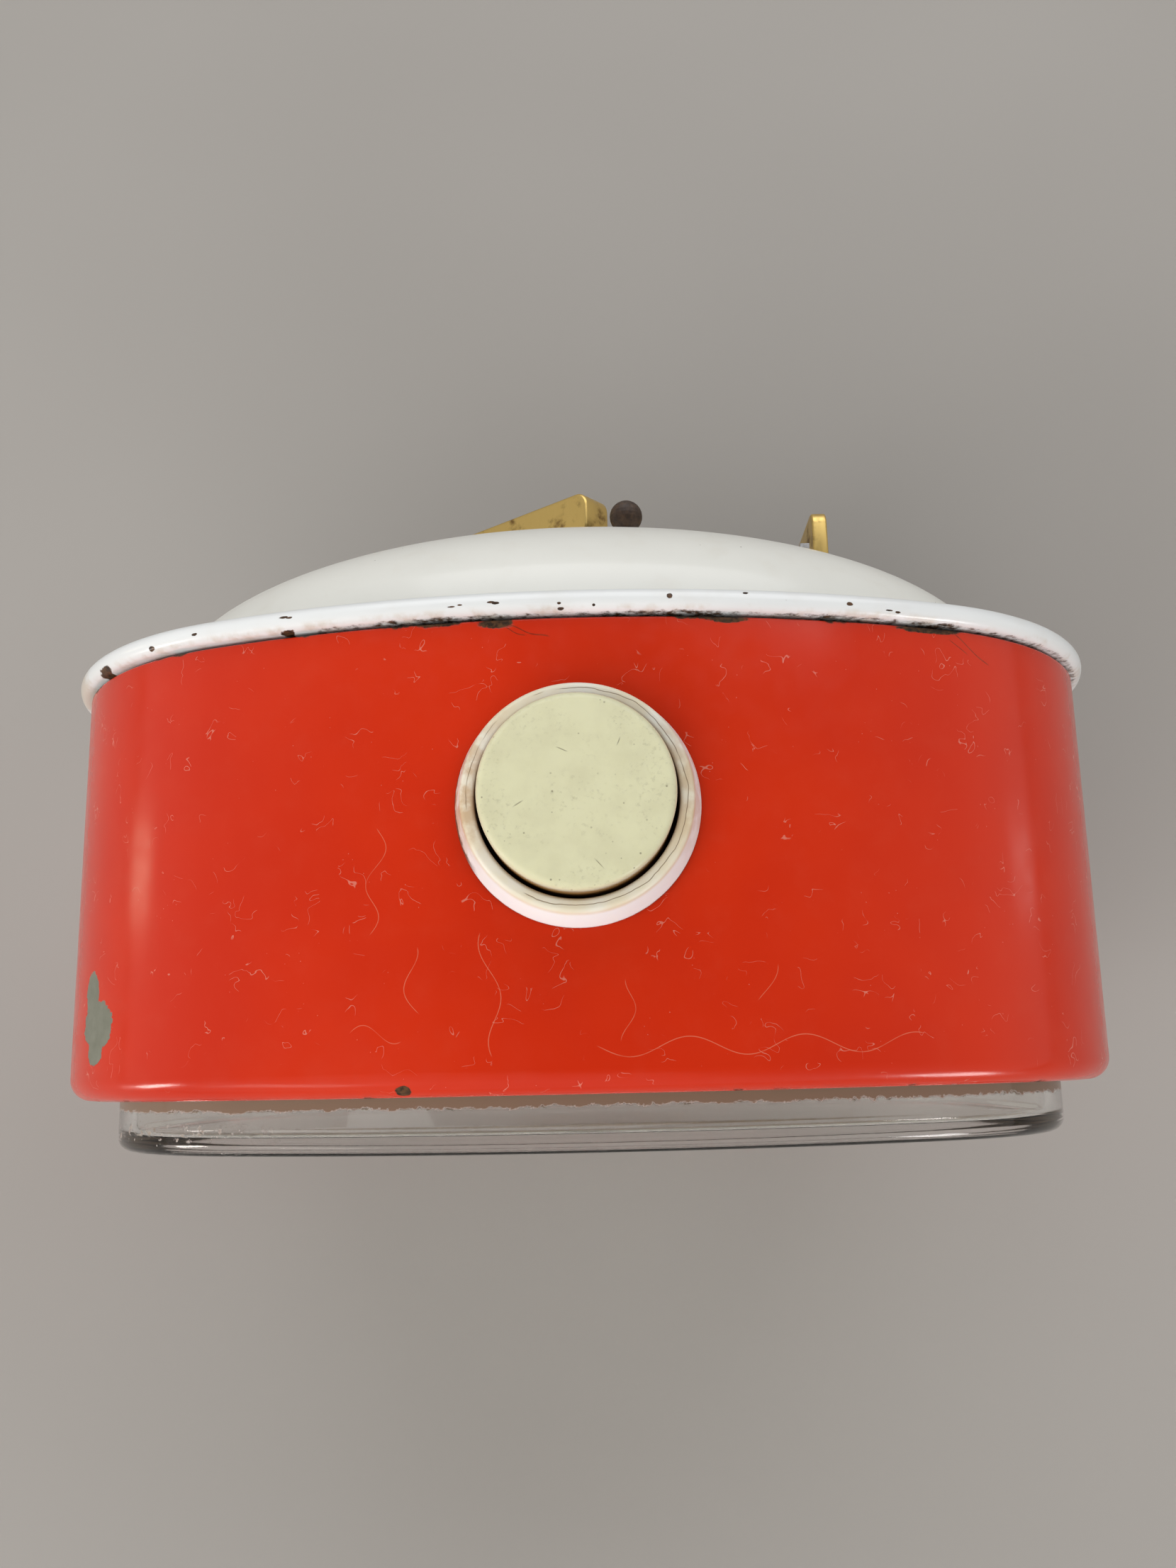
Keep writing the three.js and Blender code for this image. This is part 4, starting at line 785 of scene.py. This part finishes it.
def make_spring(material, coil=3.4, wire=0.35, turns=5, steps=240, sides=12):
    """The push button's return spring, coiled from the bottom to the top of its part's box."""
    low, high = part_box("button_spring")
    bottom, top = low.z / MM - ORIGIN_Z, high.z / MM - ORIGIN_Z
    points, faces = [], []
    for i in range(steps + 1):
        angle = 2 * math.pi * turns * i / steps
        middle = bottom + wire + (top - bottom - 2 * wire) * i / steps
        for k in range(sides):
            around = 2 * math.pi * k / sides
            radius = coil + wire * math.cos(around)
            points.append(place(radius * math.cos(angle), BUTTON_Y + radius * math.sin(angle),
                                middle + wire * math.sin(around)))
    for i in range(steps):
        near, far = i * sides, (i + 1) * sides
        faces += [(near + k, near + (k + 1) % sides, far + (k + 1) % sides, far + k) for k in range(sides)]
    faces += [tuple(range(sides)), tuple(steps * sides + k for k in reversed(range(sides)))]
    mesh = bpy.data.meshes.new("return_spring")
    mesh.from_pydata(points, [], faces)
    face_out(mesh)
    spring = link("return_spring", mesh, "case", ["button_spring"], material, 50)
    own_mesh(spring)


# ---------- winding keys, knobs and screws on the back
def dome_y(x, z):
    scale = min(math.hypot(x / DOME_HALF_WIDTH, z / DOME_HALF_HEIGHT), 0.999)
    return DOME_BASE + DOME_RISE * math.sqrt(1 - scale ** 2)


def make_winding_key(node, half, thickness, degrees, material):
    """A flat winged key on a round hub: half is half the wing's length."""
    x, _, z = node_centre(node)
    low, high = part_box(node)
    hub_front, rear = low.y / MM + ORIGIN_Y, high.y / MM + ORIGIN_Y
    inboard = max(0, 1 - half / math.hypot(x, z))
    rise = max(hub_front + 0.9, dome_y(x * inboard, z * inboard) + 1)
    wing = fillet([(-2, rise - 0.5, 0), (2, rise - 0.5, 0), (half - 2, rise, 0.6), (half, rise + 0.4, 1.2),
                   (half, rear, 1.6), (-half, rear, 1.6), (-half, rise + 0.4, 1.2), (2 - half, rise, 0.6)])
    turn = math.radians(degrees)

    def to_world(co):
        """Wing plane to the case: co.x along the wing, co.y rearwards, co.z through its thickness."""
        return place(x + co.x * math.cos(turn) - co.z * math.sin(turn), co.y,
                     z + co.x * math.sin(turn) + co.z * math.cos(turn))

    blade = slab(node, wing, thickness, 0.3, to_world)
    boss = fillet([(0, hub_front, 0), (2.7, hub_front, 0.3), (2.7, rise + 2.6, 0.8), (0, rise + 3, 0)],
                  closed=False)
    hub = lathe("hub", boss, (x, z), 48)
    bore = cylinder(1.4, hub_front - 2, hub_front + 1.6, (x, z))
    mesh = carve(unite(blade, hub), [bore])
    body = "time_key" if "time" in node else "alarm_key"
    link(node.replace("winding_", ""), mesh, body, [node], material, 40)


def unite(first, second):
    body = bpy.data.objects.new("united", first)
    other = bpy.data.objects.new("other", second)
    for piece in (body, other):
        bpy.context.collection.objects.link(piece)
    modifier = body.modifiers.new("join", "BOOLEAN")
    modifier.operation = "UNION"
    modifier.object = other
    modifier.solver = "EXACT"
    result = bpy.data.meshes.new_from_object(body.evaluated_get(bpy.context.evaluated_depsgraph_get()))
    bpy.data.objects.remove(body)
    bpy.data.objects.remove(other)
    return result


def make_screw(node, material):
    x, _, z = node_centre(node)
    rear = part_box(node)[1].y / MM + ORIGIN_Y
    seat = rear - 1.4
    profile = fillet([(0, seat - 9, 0), (0.9, seat - 9, 0.2), (0.9, seat, 0.05), (2.6, seat, 0.1),
                      (2.6, seat + 0.75, 0.4), (1.6, rear - 0.05, 0.5), (0, rear, 0)], closed=False)
    slot = slab("cutter", [(-4, -0.36), (4, -0.36), (4, 0.36), (-4, 0.36)], 1.5, 0,
                lambda co: place(x + co.x, rear + 0.15 + co.z, z + co.y))
    mesh = carve(lathe(node, profile, (x, z), 48), [slot])
    link(node.replace("cover_", "rear_"), mesh, "case", [node], material, 35)


# ---------- dial, ring and hands
def make_dial_ring(material):
    profile = fillet([(3.2, 2.6, 0.1), (3.2, 4.6, 0.1), (8.8, 4.6, 0.15), (8.8, 3.9, 0.4), (6.6, 2.6, 0.6)],
                     steps=5)
    mesh = skin("inner_ring", cushion_rings(profile))
    link("inner_ring", mesh, "case", ["dial_ring"], material, 40)


def make_dial(paper, ink):
    face, back = DIAL_FACE, DIAL_FACE + DIAL_THICKNESS
    plate = cushion_rings(fillet([(20, face, 0), (3.2, face, 0.1), (3.2, back, 0.1), (20, back, 0)],
                                 closed=False))
    sheet = skin("dial_face", plate, [(0, face, 0), (0, back, 0)])
    sheet = carve(sheet, [cylinder(3.2, face - 3, face + 3, (0, 0))])
    link("dial_face", sheet, "case", ["dial"], paper, 40)
    working = bmesh.new()
    for minute in range(60):
        angle = math.radians(6 * minute)
        hour = minute % 5 == 0
        add_bar(working, angle, 31.6 if hour else 32.6, 34.2, 0.55 if hour else 0.16)
        if hour and minute % 15:
            add_bar(working, angle, 23.6, 29.4, 0.95)
    for radius in (31.0, 34.5):
        add_track(working, radius, 0.12)
    marks = bpy.data.meshes.new("dial_marks")
    bmesh.ops.recalc_face_normals(working, faces=working.faces)
    working.to_mesh(marks)
    working.free()
    numerals = [numeral(text, math.radians(30 * hour))
                for text, hour in (("12", 0), ("3", 3), ("6", 6), ("9", 9))]
    link("dial_print", join_meshes("dial_print", marks, *numerals), "case", [], ink, 30)


def add_bar(working, angle, inner, outer, width):
    """A printed bar that points at the dial's centre."""
    along = Vector((math.sin(angle), math.cos(angle)))
    side = Vector((along.y, -along.x)) * width / 2
    corners = [along * inner - side, along * inner + side, along * outer + side, along * outer - side]
    near = [working.verts.new(place(c.x, DIAL_FACE - PRINT, c.y)) for c in corners]
    far = [working.verts.new(place(c.x, DIAL_FACE + PRINT_ROOT, c.y)) for c in corners]
    working.faces.new(near)
    working.faces.new(far[::-1])
    for i in range(len(corners)):
        j = (i + 1) % len(corners)
        working.faces.new((near[i], far[i], far[j], near[j]))


def add_track(working, radius, width):
    """A printed circle around the dial."""
    front, root = DIAL_FACE - PRINT, DIAL_FACE + PRINT_ROOT
    turn = [2 * math.pi * k / TRACK_STEPS for k in range(TRACK_STEPS)]
    loops = []
    for r, y in ((radius, front), (radius + width, front), (radius + width, root), (radius, root)):
        loops.append([working.verts.new(place(r * math.cos(a), y, r * math.sin(a))) for a in turn])
    for i, near in enumerate(loops):
        far = loops[(i + 1) % len(loops)]
        for k in range(TRACK_STEPS):
            after = (k + 1) % TRACK_STEPS
            working.faces.new((near[k], near[after], far[after], far[k]))


def numeral(text, angle):
    """A printed hour number, clockwise from the top by angle."""
    x, z = NUMERAL_RADIUS * math.sin(angle), NUMERAL_RADIUS * math.cos(angle)
    y = DIAL_FACE + (PRINT_ROOT - PRINT) / 2
    curve = bpy.data.curves.new("numeral", "FONT")
    curve.body = text
    curve.size = 9.5
    curve.extrude = (PRINT + PRINT_ROOT) / 2
    curve.align_x, curve.align_y = "CENTER", "CENTER"
    holder = bpy.data.objects.new("numeral", curve)
    bpy.context.collection.objects.link(holder)
    mesh = bpy.data.meshes.new_from_object(holder.evaluated_get(bpy.context.evaluated_depsgraph_get()))
    bpy.data.objects.remove(holder)
    working = bmesh.new()
    working.from_mesh(mesh)
    bmesh.ops.remove_doubles(working, verts=working.verts, dist=1e-4)
    middle = sum((vertex.co for vertex in working.verts), Vector()) / len(working.verts)
    for vertex in working.verts:
        u, v, depth = vertex.co - middle
        vertex.co = place(x + u, y - depth - middle.z, z + v)
    bmesh.ops.recalc_face_normals(working, faces=working.faces)
    working.to_mesh(mesh)
    working.free()
    return mesh


def make_hand(node, body, length, boss, bore, width, degrees, front, rear, material):
    """A tapering hand with a round boss, bored for its tube."""
    turn = math.radians(degrees)
    spread = math.asin(width / boss)
    round_part = arc(0, 0, boss, math.pi / 2 + spread, math.pi / 2 - spread + 2 * math.pi, 48)
    blade = [(width, boss * 0.9), (width * 1.15, length * 0.8), (0.12, length), (-0.12, length),
             (-width * 1.15, length * 0.8), (-width, boss * 0.9)]

    def to_world(co):
        return place(co.x * math.cos(turn) + co.y * math.sin(turn), (front + rear) / 2 - co.z,
                     co.y * math.cos(turn) - co.x * math.sin(turn))

    solid = slab(node, round_part + blade, rear - front, 0.09, to_world)
    mesh = carve(solid, [cylinder(bore, front - 2, rear + 2, (0, 0))])
    link(node + "_blade", mesh, body, [node], material, 35)


make_camera()
make_stage()
make_band()
make_cover()
make_crystal()
make_button()

key_brass = metal("key_brass", (0.70, 0.50, 0.17), (0.20, 0.11, 0.04), 0.36, (1, 0.2, 1), (0.5, 0.74))
hand_enamel = plastic("hand_enamel", (0.02, 0.018, 0.016), (0.03, 0.028, 0.026), 0.3)
alarm_brass = metal("alarm_hand_brass", (0.75, 0.53, 0.2), (0.5, 0.33, 0.1), 0.3)
satin_white = plastic("satin_white", (0.72, 0.71, 0.66), (0.66, 0.65, 0.6), 0.4)
dial_paper = plastic("dial_face", (0.78, 0.76, 0.68), (0.72, 0.70, 0.61), 0.5, 0.4)
make_winding_key("time_winding_key", 14.8, 4.0, 40, key_brass)
make_winding_key("alarm_winding_key", 13, 1.8, 90, key_brass)
make_screw("cover_screw_left", key_brass)
make_screw("cover_screw_right", key_brass)
steel = metal("spring_steel", (0.22, 0.25, 0.32), (0.12, 0.12, 0.14), 0.3)
make_spring(steel)
make_dial_ring(satin_white)
make_dial(dial_paper, hand_enamel)
make_hand("minute_hand", "minute", 31, 3, 1.5, 1.1, 60, 0.6, 1.1, hand_enamel)
make_hand("hour_hand", "hour", 21, 3.6, 2.25, 1.4, -55, 2.1, 2.6, hand_enamel)
make_hand("alarm_hand", "alarm_disc", 15, 4, 3, 0.8, 0, 3.5, 3.9, alarm_brass)

MATERIALS = {
    "foot_rubber": plastic("foot_rubber", (0.02, 0.019, 0.019), (0.035, 0.034, 0.033), 0.75, 2.0),
    "dark_knob": plastic("dark_knob", (0.030, 0.015, 0.008), (0.075, 0.040, 0.020), 0.55),
    "key_brass": key_brass,
    "plate_brass": metal("plate_brass", (0.72, 0.52, 0.22), (0.45, 0.3, 0.12), 0.3),
    "spring_steel": steel,
    "bright_steel": metal("bright_steel", (0.6, 0.6, 0.61), (0.36, 0.35, 0.33), 0.28),
}
for row in frame["record"]["subparts"]:
    piece = NODES[row["node"]]
    if row["material_slot"] in MATERIALS:
        piece.data.materials.clear()
        piece.data.materials.append(MATERIALS[row["material_slot"]])
for node in ("foot_left", "foot_right"):
    rounding = NODES[node].modifiers.new("rounding", "BEVEL")
    rounding.width = 0.0006
    rounding.segments = 3
    rounding.limit_method = "ANGLE"
    shade(NODES[node], 40)
for node in ("time_set_shaft", "alarm_set_shaft"):
    shade(NODES[node], 45)
